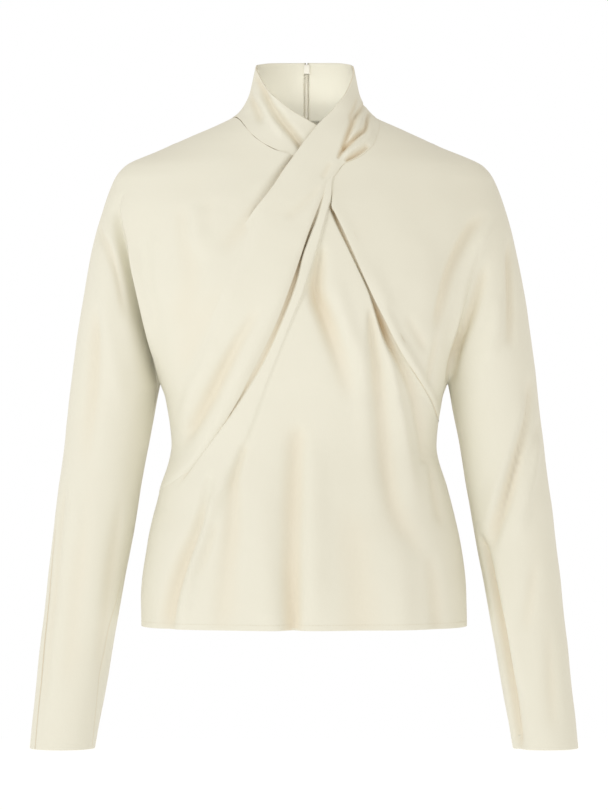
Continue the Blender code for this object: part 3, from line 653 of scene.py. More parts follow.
# The roll of the left front's edge, where the slit has closed: it is in both fronts.
EDGE_RIDGE = Fold((92, -234, 1, 6), (104, -251, 3.6, 6.5), (122, -281, 4.4, 6.5),
                  (139, -309, 2.6, 6.5), (151, -334, 1, 6))
LEFT_FOLDS = (
    Fold((62, -150, 1, 12), (82, -195, 2.5, 9), (96, -228, 3.5, 8), (108, -250, 1.5, 8)),
    EDGE_RIDGE,
    Fold((88, -204, -0.8, 5), (95, -220, -1.7, 5), (104, -238, -1.6, 5.5), (116, -258, -0.6, 6)),
    Fold((108, -216, -0.6, 6), (122, -240, -2.4, 6), (136, -262, -2, 6)),
)
print("folds of the right and of the left front:", len(RIGHT_FOLDS), len(LEFT_FOLDS))

# %% Rows and columns


def levels(*stretches):
    """Heights from one level down to the next, in a given number of rows for each stretch."""
    parts = [np.linspace(top, end, rows)[:-1] for top, end, rows in stretches]
    return np.concatenate((*parts, [stretches[-1][1]]))


NECK_END = -0.056
UPPER_LEVELS = levels((NECK_SEAM, NECK_END, 41), (NECK_END, ARMPIT, 131), (ARMPIT, LEFT_TIP, 22),
                      (LEFT_TIP, RIGHT_TIP, 19), (RIGHT_TIP, HEM, 77), (HEM, CUFF, 58))
COLUMNS = {"front": (68, 54), "back": (38, 34)}    # of the body's part and of the sleeve's
NEARLY = 1e-6
print("rows from the neck to the cuff:", len(UPPER_LEVELS))

# %% [markdown]
# ## Seams of the right sleeve
# Two fine lines run down the lower sleeve: the seams that shape it. A line drawn by colour alone
# would not catch the light, so a column of points is moved into each seam and sunk a little.
# That column also gets painted crease shade.

# %% Seams of the right sleeve
SEAM_HALF = 0.0006
SEAM_DEPTH = 0.0012
OUTER_SEAM = Profile(
    "height place depth",
    (-0.6925, 0.2941, 0.0012), (-0.600, 0.2859, 0.0012), (-0.500, 0.2769, 0.0010),
    (-0.460, 0.2733, 0.0005), (-0.440, 0.2715, 0.0),
)
INNER_SEAM = Profile(
    "height place depth",
    (-0.6925, 0.2318, 0.0004), (-0.656, 0.2277, 0.0004), (-0.614, 0.2233, 0.0004),
    (-0.5887, 0.2178, 0.0004), (-0.5546, 0.2112, 0.0004), (-0.529, 0.2046, 0.0003),
    (-0.490, 0.1965, 0.0),
)
SLEEVE_SEAMS = ((15, INNER_SEAM), (39, OUTER_SEAM))    # and the column that each one takes
PINNED_BELOW, PINNED_OVER = -0.33, 0.08
CLEAR_OF_SIDES = 2.5 * SEAM_HALF


def pinned(sleeve_x):
    """Move columns of the sleeve so that one lies in each seam and one close on each side."""
    moved = sleeve_x.copy()
    for row, height in enumerate(UPPER_LEVELS):
        share = smooth_step((PINNED_BELOW - height) / PINNED_OVER)
        if share == 0:
            continue
        knots, places = [0], [sleeve_x[row, 0]]
        for column, seam in SLEEVE_SEAMS:
            inside = sleeve_x[row, 0] + CLEAR_OF_SIDES, sleeve_x[row, -1] - CLEAR_OF_SIDES
            place = float(np.clip(seam("place", height), *inside))
            knots += [column - 1, column, column + 1]
            places += [place - SEAM_HALF, place, place + SEAM_HALF]
        places.append(sleeve_x[row, -1])
        pinned_row = np.interp(sleeve_x[row], sleeve_x[row, knots + [-1]], places)
        moved[row] += share * (pinned_row - sleeve_x[row])
    return moved


print("seams of the sleeve:", len(SLEEVE_SEAMS))

# %% [markdown]
# ## The shape of an upper panel
# A front or back with its half sleeve could be one grid, but its points would crowd at the
# armpit. Two grids share the crease between body and sleeve: one for the body, one for the arm.

# %% Columns of an upper panel
ROUND_BELOW, ROUND_OVER = -0.15, 0.12    # down here a sleeve's columns go round both its sides
GATHERED = 0.75                          # how much closer they lie there than in the middle


def panel_columns(face, inner_edge, last):
    """Where the columns of the body and of the sleeve lie across, at each of their levels."""
    body_columns, sleeve_columns = COLUMNS[face]
    even = np.linspace(0, 1, sleeve_columns + 1)
    sleeve_steps = even - GATHERED * np.sin(2 * np.pi * even) / (2 * np.pi)
    body_steps = np.linspace(0, 1, body_columns + 1)
    z_body = UPPER_LEVELS[UPPER_LEVELS >= last - NEARLY]
    above = UPPER_LEVELS >= ARMPIT - NEARLY
    crease = np.where(above, ARM_CREASE("place", UPPER_LEVELS), BODY("half_width", UPPER_LEVELS))
    inner = inner_edge(z_body)
    body_x = inner[:, None] + (crease[:len(z_body)] - inner)[:, None] * np.sin(
        body_steps * np.pi / 2)[None, :]
    start = np.where(above, crease, SLEEVE("inner", UPPER_LEVELS))
    side_on = np.sin(sleeve_steps * np.pi / 2)
    all_round = (1 - np.cos(sleeve_steps * np.pi)) / 2
    share = smooth_step((ROUND_BELOW - UPPER_LEVELS) / ROUND_OVER)[:, None]
    steps = side_on * (1 - share) + all_round * share
    sleeve_x = start[:, None] + (outer_side(UPPER_LEVELS) - start)[:, None] * steps
    return body_x, z_body, sleeve_x


print("columns of the body and of the sleeve:", COLUMNS)

# %% Grids of an upper panel


def upper_panel(side, face, inner_edge, last, folds, inner_finish, lift=None):
    """Grids of an upper panel with its half sleeve and turned edges, and their painted shade."""
    body_x, z_body, sleeve_x = panel_columns(face, inner_edge, last)
    seamed = side < 0 and face == "front"
    if seamed:
        sleeve_x = pinned(sleeve_x)
    grids, normals, shades = [], [], []
    for x, z in ((body_x, z_body), (sleeve_x, UPPER_LEVELS)):
        z = np.broadcast_to(z[:, None], x.shape)
        place, normal = on_form(side * x, z, face)
        rise, shade = fold_rise(place, folds)
        if lift is not None:
            rise = rise + lift(x, z)
        if seamed and x is sleeve_x:
            # Each seam sinks a little, and its column gets painted crease shade.
            for column, seam in SLEEVE_SEAMS:
                rise[:, column] -= seam("depth", UPPER_LEVELS)
                shade[1][:, column] = seam("depth", UPPER_LEVELS) / SEAM_DEPTH
        grids.append(raised(place, normal, rise))
        normals.append(normal)
        shades.append(shade)
    body, sleeve = grids
    body_normal, sleeve_normal = normals
    edges = [side_edge(body, body_normal, "first column", *inner_finish(z_body))]
    below = z_body <= ARMPIT + NEARLY
    if below.sum() > 1:
        edges.append(seam_edge(body[below], body_normal[below], "last column"))
    edges.append(seam_edge(sleeve, sleeve_normal, "last column"))
    below = UPPER_LEVELS <= ARMPIT + NEARLY
    edges.append(seam_edge(sleeve[below], sleeve_normal[below], "first column"))
    edges.append(hem_layer(sleeve, sleeve_normal))
    if abs(z_body[-1] - HEM) < NEARLY:
        edges.append(hem_layer(body, body_normal))
    return [*grids, *edges], shades


print("rows down to the armpit:", int(np.sum(UPPER_LEVELS >= ARMPIT - NEARLY)))

# %% [markdown]
# ## Make the upper fronts
# The right front's inner edge is hidden, so it only turns in. The left front's is the folded edge
# that shows: it lifts off the lower front, and is lifted most close to the fold.

# %% Make the upper fronts
HIDDEN_TAIL = 0.004
FOLDED_TAIL = 0.006            # more than the hidden one, where the left front's edge is free
FREE_BELOW, FREE_OVER = -0.08, 0.02
WIDE_REACH, NEAR_REACH = 0.055, 0.016    # over which each of its two lifts dies away
WIDE_END, NEAR_END = 1.25, 1.15          # where each has gone, in those lengths from the edge


def left_lift(x, z):
    """How far the left front stands off the form, near its folded edge."""
    away = np.abs(x) - LEFT_EDGE("place", z)
    return (LEFT_FOLD("wide", z) * smooth_step(WIDE_END - away / WIDE_REACH)
            + LEFT_FOLD("near", z) * smooth_step(NEAR_END - away / NEAR_REACH))


def left_finish(z):
    free = smooth_step((FREE_BELOW - z) / FREE_OVER)
    return LEFT_FOLD("radius", z), LEFT_FOLD("angle", z), HIDDEN_TAIL + FOLDED_TAIL * free


grids, shades = upper_panel(-1, "front", lambda z: RIGHT_EDGE("place", z) + SEAM_ROUND, RIGHT_TIP,
                            ALL_FOLDS + RIGHT_FOLDS, lambda z: (SEAM_ROUND, 90, HIDDEN_TAIL))
make_sheet("right_front_cloth", grids, "front", shades)
grids, shades = upper_panel(1, "front", lambda z: LEFT_EDGE("place", z) + LEFT_FOLD("radius", z),
                            LEFT_TIP, ALL_FOLDS + LEFT_FOLDS, left_finish, left_lift)
make_sheet("left_front_cloth", grids, "front", shades)

# %% [markdown]
# ## The lower front
# It hangs from the twist. On its right a narrow strip stands up along the drape, and on its
# left it sinks away under the left front's folded edge. Its two side edges are given as angles
# round the body, so its columns stay evenly spaced from the narrow top to the wide hem.

# %% Outline of the lower front
LOWER_TOP = -0.050
LOWER_FRONT = Profile(
    "height right left",
    (-0.559, -90, 90), (-0.440, -90, 90), (-0.421, -90, 90), (-0.402, -71, 90),
    (-0.356, -48.5, 90), (-0.345, -43, 90), (-0.332, -36, 87), (-0.300, -27.5, 59),
    (-0.255, -18, 40.5), (-0.224, -11.6, 32), (-0.200, -8.3, 27), (-0.150, -3.4, 18),
    (-0.120, 0, 12.7), (-0.103, 1.8, 10.4), (-0.095, 2.4, 10.2), (-0.080, 4, 10.4),
    (-0.065, 6.5, 11.6), (-0.050, 9.0, 14.0),
)
print("its top spans", LOWER_FRONT("left", LOWER_TOP) - LOWER_FRONT("right", LOWER_TOP), "degrees")

# %% Folds of the lower front
LOWER_FOLDS = (
    EDGE_RIDGE,
    # The strip: raised on its right side, it drops at its left edge.
    Fold((35, -62, 1.6, 1.6), (31, -79, 2.4, 1.8), (29, -95, 3.0, 1.8), (25, -111, 3.4, 1.8),
         (18, -136, 3.8, 2), (12, -158, 4.4, 2.2), (5, -180, 4.6, 2.4), (-2, -200, 3.6, 2.4),
         (-11, -221, 2.4, 2.4), (-26, -259, 1.8, 2.4), (-40, -295, 1.9, 3), (-53, -332, 2.6, 5),
         (-67, -367, 3.6, 7), (-85, -410, 3.6, 9), (-100, -450, 2.0, 12), step=True, fade=0.05),
    # The deep hollow beside it, which turns like an arrow head under the chest.
    Fold((20, -140, -1, 5), (17, -156, -4.5, 6.5), (14, -174, -8, 8), (12, -190, -11, 8.6),
         (14, -204, -12.5, 9), (20, -220, -11, 9.6), (27, -238, -9, 10.4), (36, -262, -6.4, 11.4),
         (46, -292, -3, 12.5), (54, -320, -1, 13), fade=0.1, right=0.75, left=1.1),
    Fold((34, -170, 1, 9), (38, -200, 2.5, 9), (46, -230, 3.5, 10), (56, -262, 3, 12),
         (66, -300, 1, 14)),
    # The crease along the drape's edge.
    Fold((24, -80, -0.6, 1.4), (18, -100, -1.6, 1.6), (12, -118, -3.4, 1.9), (4, -136, -5.6, 2.3),
         (-3, -156, -6.4, 2.3), (-10, -187, -5, 2.0), (-26, -230, -3.6, 1.6), (-43, -268, -3, 1.4),
         (-60, -297, -3, 1.3), (-78, -325, -3, 1.3), (-109, -368, -2.5, 1.3), (-136, -407, -2, 1.6),
         right=3.0, left=0.75, fade=0.05),
    # The slit under the left front's folded edge, which runs out as a soft trough.
    Fold((29, -100, -3, 2.2), (31, -106, -6.4, 2.4), (37, -122, -5.4, 1.8), (47, -144, -4.4, 1.3),
         (58, -168, -3.4, 1.1), (70, -194, -3.6, 1.1), (78, -214, -7, 2.0), (86, -235, -9.5, 3.2),
         (93, -251, -8, 3.8), (106, -275, -6, 4.8), (117, -300, -5, 5.4), (124, -330, -4, 6.4),
         (129, -360, -2.6, 8), (131, -385, -1.4, 9), left=1.6, fade=0.03),
    Fold((70, -206, -1, 4), (73, -228, -5, 5), (75, -250, -6.5, 6), (80, -290, -6.5, 8),
         (85, -340, -5.5, 10), (92, -400, -5.5, 11), (104, -440, -4, 12), (121, -468, -2, 13),
         (132, -495, -1, 14), fade=0.12),
    Fold((84, -246, 2, 4), (92, -270, 3.5, 5.5), (100, -305, 4.5, 7), (108, -350, 4.5, 9),
         (116, -400, 3.5, 11), (130, -440, 2, 12)),
    Fold((62, -230, 1, 8), (62, -270, 2.5, 10), (66, -330, 3, 12), (72, -400, 2.5, 14),
         (80, -440, 1, 15)),
    Fold((136, -372, -1, 7), (141, -400, -3.4, 8), (146, -430, -3, 9), (152, -455, -1, 9)),
    # The panel below the waist.
    Fold((-4, -330, -2, 10), (-8, -365, -6, 11), (-10, -420, -8, 12), (-12, -480, -9, 12),
         (-12, -540, -12, 11), (-12, -580, -13, 10), fade=0.14, right=1.0, left=0.8),
    Fold((12, -340, 1, 12), (12, -400, 3.4, 13), (12, -480, 4.4, 14), (13, -580, 5, 14)),
    Fold((-40, -380, 1, 14), (-42, -450, 3, 15), (-38, -520, 4, 16), (-38, -580, 4, 16)),
    Fold((48, -400, -0.5, 16), (56, -470, -3, 18), (60, -540, -4, 20), (62, -580, -4, 20)),
    Fold((96, -450, 0.6, 14), (104, -500, 3, 16), (108, -580, 4, 16)),
    Fold((134, -470, -0.6, 9), (142, -510, -3, 10), (146, -575, -5, 10)),
    # Where the strip runs out: a long ridge with a trough on each side, and a short crease.
    Fold((-62, -352, -2, 4), (-70, -374, -4.6, 5), (-77, -396, -5.6, 7), (-78, -425, -5, 10),
         (-80, -465, -5, 12), (-86, -520, -4, 14), (-92, -575, -3, 15), right=0.75, fade=0.12),
    Fold((-92, -400, 1, 5), (-99, -425, 3, 5.5), (-107, -452, 4.5, 6.5), (-120, -490, 5.5, 8),
         (-130, -530, 6, 10), (-138, -580, 5, 11), fade=0.2),
    Fold((-92, -436, -0.8, 4), (-101, -460, -3, 4.6), (-110, -484, -3.4, 5), (-121, -517, -1, 5)),
    Fold((-97, -384, -1, 5), (-102, -402, -3, 5.5), (-108, -425, -5, 6), (-117, -455, -6.6, 7.5),
         (-132, -490, -8.6, 10), (-145, -535, -9, 12), (-152, -580, -8, 13), fade=0.15),
)
print("folds of the lower front:", len(LOWER_FOLDS))

# %% Make the lower front
LOWER_COLUMNS = 156
STRIP_TOP, STRIP_END = -0.36, -0.44    # close rows here, where the columns lean over
UNDER_EDGE = 0.0011                    # how far it sinks under the left front's edge
COVER_START, COVER_OVER = 0.0012, 0.0014
lower_levels = levels((LOWER_TOP, STRIP_TOP, 170), (STRIP_TOP, STRIP_END, 60),
                      (STRIP_END, HEM, 48))
turn = between(LOWER_FRONT("right", lower_levels), LOWER_FRONT("left", lower_levels),
               np.linspace(0, 1, LOWER_COLUMNS + 1)[None, :])
z = np.broadcast_to(lower_levels[:, None], turn.shape)
x = across_at(turn, z)
place, normal = on_form(x, z, "front")
covered = smooth_step((x - LEFT_EDGE("place", z) + COVER_START) / COVER_OVER)
rise, shade = fold_rise(place, ALL_FOLDS + LOWER_FOLDS)
rise = rise - UNDER_EDGE * np.where(z > LEFT_TIP, covered, 0)
lower = raised(place, normal, rise)
make_sheet("lower_front_cloth", [
    lower,
    seam_edge(lower, normal, "first column"),
    seam_edge(lower, normal, "last column"),
    hem_layer(lower, normal),
], "front", [shade])

# %% [markdown]
# ## The crossed drape
# It starts in the left side of the neck, narrows at the twist and widens over the chest. Its
# upper edge is a soft fold that fades into the right front, and its lower edge is a deep one.
# A straight strip could be bent along one line, but its width changes all the way. So each edge
# has its own table, and the cloth is spread between them.

# %% Edges and lift of the drape
DRAPE_UPPER = Profile(
    "station turn height",
    (0.00, 89.6, 0.0550), (0.08, 66.0, 0.0400), (0.16, 47.0, 0.0228), (0.26, 22.0, 0.0010),
    (0.34, 8.0, -0.0137), (0.40, 0.0, -0.0330), (0.47, -5.0, -0.0580), (0.54, -10.0, -0.0850),
    (0.62, -17.0, -0.1150), (0.70, -25.0, -0.1500), (0.78, -36.0, -0.2000), (0.86, -50.0, -0.2550),
    (0.93, -68.0, -0.3050), (0.97, -80.0, -0.3280), (1.00, -90.0, -0.3450),
)
# The lower edge: along the seam of the neck as far as the twist, then free across the chest.
DRAPE_LOWER = Profile(
    "station turn height",
    (0.00, 89.7, -0.0010), (0.03, 78.0, -0.0012), (0.07, 54.0, -0.0115), (0.12, 38.6, -0.0252),
    (0.17, 29.4, -0.0338), (0.21, 24.2, -0.0414), (0.255, 19.2, -0.0486), (0.30, 15.4, -0.0526),
    (0.34, 13.0, -0.0556), (0.38, 10.9, -0.0622), (0.43, 9.0, -0.0710), (0.47, 7.2, -0.0800),
    (0.54, 4.6, -0.1020), (0.62, 1.5, -0.1320), (0.70, -3.0, -0.1770), (0.78, -9.5, -0.2280),
    (0.86, -22.0, -0.2900), (0.93, -41.0, -0.3530), (0.97, -62.0, -0.4015),
    (1.00, -90.0, -0.4210),
)
# Lift of the drape off the form at its upper edge, a third of the way down and near its lower
# edge, how far it drops to that edge and over what width, and the radius of the two folds.
DRAPE_LIFT = Profile(
    "station upper third lower drop roll upper_round lower_round",
    (0.00, 0.0012, 0.0010, 0.0008, 0.0003, 0.006, 0.0008, 0.0003),
    (0.08, 0.0026, 0.0026, 0.0016, 0.0012, 0.014, 0.0011, 0.0003),
    (0.16, 0.0032, 0.0036, 0.0022, 0.0018, 0.014, 0.0013, 0.0003),
    (0.26, 0.0034, 0.0044, 0.0030, 0.0025, 0.012, 0.0014, 0.0003),
    (0.34, 0.0038, 0.0050, 0.0034, 0.0026, 0.010, 0.0015, 0.0004),
    (0.40, 0.0042, 0.0050, 0.0036, 0.0027, 0.007, 0.0015, 0.0005),
    (0.48, 0.0039, 0.0046, 0.0034, 0.0027, 0.007, 0.0014, 0.0004),
    (0.54, 0.0036, 0.0042, 0.0034, 0.0023, 0.006, 0.0013, 0.0006),
    (0.60, 0.0018, 0.0034, 0.0042, 0.0020, 0.005, 0.0007, 0.0009),
    (0.64, 0.0000, 0.0022, 0.0052, 0.0020, 0.005, 0.0004, 0.0012),
    (0.67, -0.0013, 0.0014, 0.0053, 0.0026, 0.007, 0.0004, 0.0011),
    (0.72, -0.0016, 0.0010, 0.0054, 0.0036, 0.009, 0.0004, 0.0010),
    (0.78, -0.0014, 0.0008, 0.0056, 0.0050, 0.011, 0.0004, 0.0008),
    (0.90, -0.0014, 0.0008, 0.0050, 0.0050, 0.011, 0.0004, 0.0007),
    (0.96, -0.0014, 0.0006, 0.0034, 0.0040, 0.010, 0.0004, 0.0006),
    (1.00, -0.0014, 0.0000, 0.0006, 0.0016, 0.010, 0.0004, 0.0004),
)
print("the drape's lower edge ends at a height of", DRAPE_LOWER("height", 1.0))

# %% Folds of the drape
# The gathers of the collar's left side, which meet in the twist.
GATHERS = (
    Fold((56, 20, -0.6, 2.4), (55, 12, -1.4, 2.4), (50, -3, -2.0, 2.6), (48.6, -16, -1.4, 2.8)),
    Fold((66, 16, -1.2, 2.4), (63.7, 10, -2, 2.4), (55, -5, -3.4, 2.6), (49.7, -18, -4.2, 2.8),
         (44.3, -33, -4, 2.6), (41, -43, -2, 2.4), fade=0.1),
    Fold((70, 8, 1, 3), (62, -8, 2, 3.2), (54, -25, 2.4, 3.2), (46, -37, 1.6, 2.6)),
    Fold((71.5, 4, -1.2, 2), (69, -3, -2.6, 2.2), (65.9, -18, -3.8, 2.3), (58.3, -25.4, -4.6, 2.4),
         (48.6, -35, -5.2, 2.5), (42.1, -41.6, -5, 2.4), (38.4, -47.5, -3.2, 2.0),
         (36, -53, -1.2, 1.6), fade=0.06),
    Fold((76, -14, 1, 3.4), (70, -27, 2.2, 3.4), (58, -38, 2.8, 3.2), (48, -46, 2.4, 3),
         (41, -54, 1.2, 2.6)),
    Fold((71, -35, -1.4, 2.6), (64, -41, -3.4, 3), (56, -46.5, -4.4, 3), (49, -51, -4, 2.6),
         (43.6, -55.5, -3, 2.2), fade=0.15),
)
DRAPE_FOLDS = GATHERS + LOW_TROUGH + (
    Fold((22, -77, -1, 4), (8, -94, -1.8, 4.6), (-8, -108, -1.8, 5.4), (-23, -119, -1, 6)),
    Fold((30, -54, -0.6, 2.8), (24, -65, -1.1, 3), (18, -76, -0.6, 3.4)),
)
print("folds of the drape:", len(DRAPE_FOLDS))

# %% Make the drape
SEAM_OVERLAP = 0.0006        # how far the drape's lower edge lies over the neck seam
SEAM_START, SEAM_END = 0.03, 0.34
DRAPE_COLUMNS = 62
CROWDED = 0.45               # how much closer its columns lie at the lower edge
THIRD_REACHED = 0.35         # shares of its width: where the lift a third of the way down is full
LOW_FROM, LOW_OVER = 0.45, 0.45      # and from where, and over what, the lift near its lower edge
HELD_OVER = 0.25             # share of the drop over which a seam holds the folds down
TAIL, TAIL_MORE = 0.001, 0.007       # cloth behind a fold: least, and more where it is free
TAIL_GROWN, LOOSE_OVER = 0.3, 0.05   # stations over which the two edges come free
stations = np.linspace(0, 1, 350)
upper_turn, upper_height = (DRAPE_UPPER(name, stations) for name in ("turn", "height"))
lower_turn, lower_height = (DRAPE_LOWER(name, stations) for name in ("turn", "height"))
seam_turn = np.degrees(np.arcsin(np.clip(
    (LEFT_EDGE("place", lower_height) + SEAM_OVERLAP) / BODY("half_width", lower_height), -1, 1)))
lower_turn = np.where((stations > SEAM_START) & (stations < SEAM_END), seam_turn, lower_turn)
upper_edge = form_point(across_at(upper_turn, upper_height), upper_height, "front")
lower_edge = form_point(across_at(lower_turn, lower_height), lower_height, "front")
width = np.linalg.norm(upper_edge - lower_edge, axis=1)
steps = np.linspace(0, 1, DRAPE_COLUMNS + 1)[None, :]
steps = steps + CROWDED * np.sin(np.pi * steps) / np.pi
across = between(DRAPE_LIFT("upper_round", stations) / width,
                 1 - DRAPE_LIFT("lower_round", stations) / width, steps)
z = between(upper_height, lower_height, across)
x = across_at(between(upper_turn, lower_turn, across), z)
place, normal = on_form(x, z, "front")
upper, third, low, drop, roll = (
    DRAPE_LIFT(name, stations)[:, None] for name in ("upper", "third", "lower", "drop", "roll"))
from_edge = (1 - across) * width[:, None] / roll
lift = (upper + (third - upper) * smooth_step(across / THIRD_REACHED)
        + (low - third) * smooth_step((across - LOW_FROM) / LOW_OVER)
        - drop * np.clip(1 - from_edge, 0, 1) ** 2)
free = stations[:, None] >= SEAM_END
under, _ = fold_rise(place, ALL_FOLDS)
over, shade = fold_rise(place, DRAPE_FOLDS)
rise = lift + under + over * np.where(free, 1.0, smooth_step(from_edge / HELD_OVER))
drape = raised(place, normal, rise)
loose = smooth_step((stations - SEAM_END) / LOOSE_OVER)
make_sheet("crossed_drape_cloth", [
    drape,
    side_edge(drape, normal, "first column", DRAPE_LIFT("upper_round", stations), 180,
              TAIL + TAIL_MORE * smooth_step(stations / TAIL_GROWN)),
    side_edge(drape, normal, "last column", DRAPE_LIFT("lower_round", stations),
              90 + 90 * loose, SEAM_TAIL + TAIL_MORE * loose),
], "front", [shade])

# %% [markdown]
# ## The collar
# The high collar is a stand cut in four pieces. In front its right piece is gathered into the
# twist, so troughs run from the side of the neck towards it. The left piece lies under the
# drape's start as its stay. Each front piece is spread between its seam, which it shares with the
# body, and a free edge with a table of its own.

# %% Edges and folds of the collar
COLLAR_FRONT_RIGHT = Profile(
    "seam_height turn height",
    (-0.0013, 72.0, 0.0466), (-0.0060, 55.0, 0.0345), (-0.0125, 41.0, 0.0240),
    (-0.0245, 26.0, 0.0140), (-0.0340, 12.0, 0.0030), (-0.0430, -2.0, -0.0080),
    (-0.0500, -12.0, -0.0200),
)
COLLAR_FRONT_LEFT = Profile(
    "seam_height turn height",
    (-0.0013, 70.0, 0.0100), (-0.0060, 60.0, 0.0100), (-0.0125, 50.0, 0.0060),
    (-0.0245, 36.0, -0.0010), (-0.0340, 28.0, -0.0100), (-0.0430, 20.0, -0.0220),
    (-0.0500, 14.0, -0.0330), (-0.0560, 10.0, -0.0450), (-0.0640, 7.5, -0.0570),
    (-0.0750, 6.5, -0.0690),
)
COLLAR_BACK = Profile(
    "station upper_turn upper_height lower_turn lower_height",
    (0.00, 90.3, 0.0555, 90.3, -0.0009),
    (0.50, 135.0, 0.0600, 135.0, -0.0009),
    (1.00, 180.0, 0.0612, 180.0, -0.0009),
)
COLLAR_RIGHT_FOLDS = (
    Fold((-55, 46, -1, 3.6), (-51, 37, -3, 3.8), (-44, 24, -4.2, 4), (-33, 3, -5, 4.4),
         (-21, -12, -6.4, 4.6), (-11, -24, -7.4, 4.6), (-3, -35, -8, 4.6), (5, -45, -8, 4.6),
         (12, -55, -8, 4.6), fade=0.1),
    Fold((-60, 27, -0.8, 3.4), (-57, 15, -2.8, 3.8), (-50, 1, -4, 4.6), (-43, -15, -2.4, 5)),
    Fold((-55, 30, 1, 3.6), (-44, 10, 2.4, 4.4), (-31, -13, 2.6, 4.6), (-18, -30, 2.4, 4.6)),
    Fold((-42, 30, 1, 3.6), (-27, 9, 1.8, 4.4), (-12, -6, 2.2, 4.6)),
)
print("folds of the collar's right front:", len(COLLAR_RIGHT_FOLDS))

# %% Make the collar's front
SIDE_TURN = 89.7            # how far round the body the collar's side seams are
NECK_LEVELS = (-0.0013, -0.0060, -0.0125, -0.0245, -0.0340, -0.0430, -0.0500, -0.0560,
               -0.0640, -0.0750)
SEAM_GAP = 0.0004
ROLLED_TAIL = 0.0012
CALM_OVER = 0.08            # share beside the neck seam over which the folds die away
SIDE_SEAM_ROUND, SIDE_SEAM_TAIL = 0.0002, 0.002


def collar_sections(seam, free_edge, side_height):
    """Sections of a front piece, one from seam to free edge at each level of its neck seam."""
    rows = [(0, SIDE_TURN, NECK_SEAM, SIDE_TURN, side_height)]
    for k, height in enumerate(h for h in NECK_LEVELS if h >= free_edge.stations[0]):
        seam_turn = np.degrees(np.arcsin(seam("place", height) / BODY("half_width", height)))
        rows.append((k + 1, float(seam_turn), height, float(free_edge("turn", height)),
                     float(free_edge("height", height))))
    return Profile("row seam_turn seam_height turn height", *rows)


def collar_front(name, side, edges, side_height, folds, rolled, counts, sunk=0.0):
    """A front piece of the collar between its edges, in so many rows and columns."""
    sections = collar_sections(*edges, side_height)
    rows = np.linspace(0, sections.stations[-1], counts[0])
    across = np.linspace(0, 1, counts[1])[None, :]
    turn = between(sections("turn", rows), sections("seam_turn", rows), across)
    z = between(sections("height", rows), sections("seam_height", rows) + SEAM_GAP, across)
    place, normal = on_form(side * across_at(turn, z), z, "front")
    rise, shade = fold_rise(place, folds)
    rise = rise * smooth_step((1 - across) / CALM_OVER) - sunk
    grid = raised(place, normal, rise)
    make_sheet(name, [
        grid,
        side_edge(grid, normal, "first column", rolled, 180, ROLLED_TAIL),
        seam_edge(grid, normal, "last column"),
        side_edge(grid, normal, "first row", SIDE_SEAM_ROUND, 90, SIDE_SEAM_TAIL),
    ], "front", [shade])


UNDER_DRAPE = 0.0026
collar_front("collar_right_cloth", -1, (RIGHT_EDGE, COLLAR_FRONT_RIGHT), 0.0540,
             COLLAR_RIGHT_FOLDS, 0.0009, (140, 49))
collar_front("collar_left_cloth", 1, (LEFT_EDGE, COLLAR_FRONT_LEFT), 0.0100,
             GATHERS, 0.0006, (60, 25), UNDER_DRAPE)

# %% [markdown]
# ## The back
# The back is plain, with a concealed zip from the collar's top down between the shoulder
# blades, and long soft folds where the sleeves hang and at the hollow of the waist. It comes
# from the same function as the fronts, with the zip's edge as its inner edge.

# %% Make the back
ZIP_PLACE = 0.003            # the zip lies this far to the wearer's left
ZIP_END = -0.166
ZIP_OPEN = 0.00026
ZIP_TAIL = 0.0006
ZIP_CLOSE = 0.00002          # how much closer than their turn the two edges come
ZIP_OPENING = 0.006          # over which they part at the zip's end
print("from the neck seam to the zip's end:", round(NECK_SEAM - ZIP_END, 4))


def zip_gap(z):
    """From the zip's middle to a back's edge: a little open at the zip, closed below it."""
    return SEAM_ROUND - ZIP_CLOSE + ZIP_OPEN * smooth_step((z - ZIP_END) / ZIP_OPENING)


def back_panel(side, name):
    grids, shades = upper_panel(side, "back", lambda z: side * ZIP_PLACE + zip_gap(z), HEM,
                                ALL_FOLDS, lambda z: (SEAM_ROUND, 90, ZIP_TAIL))
    make_sheet(name, grids, "back", shades)


# %% [markdown]
# ## The back of the collar
# Its cloth runs up, turns over at the top and comes down inside as a facing that ends at the
# zip's coil. A Solidify modifier alone would give a wall, but no soft turn at the top.

# %% Make the back of the collar
OUTSIDE_EDGE = 0.0008        # from the zip's middle to the collar's edge outside
FACING_EDGE = 0.0030         # the same, inside
SIDE_ROUND, ZIP_ROUND = 0.0007, 0.0018      # radius of the turn at the top: at the side, at the zip
ROUND_GROWN = 0.7            # share of the way to the zip over which that radius grows
FACING_TOP = 2               # first columns of the facing, whose place the turn takes
FACING_ROUND, FACING_TAIL = 0.0003, 0.0004
NECK_TAIL = 0.002
RIGHT_EASE = 1.06            # the right piece runs on this much further, as the zip is off centre


def beside_zip(x, side, gap):
    """Keep places clear of the zip's middle."""
    return side * np.maximum(side * x, side * ZIP_PLACE + gap)


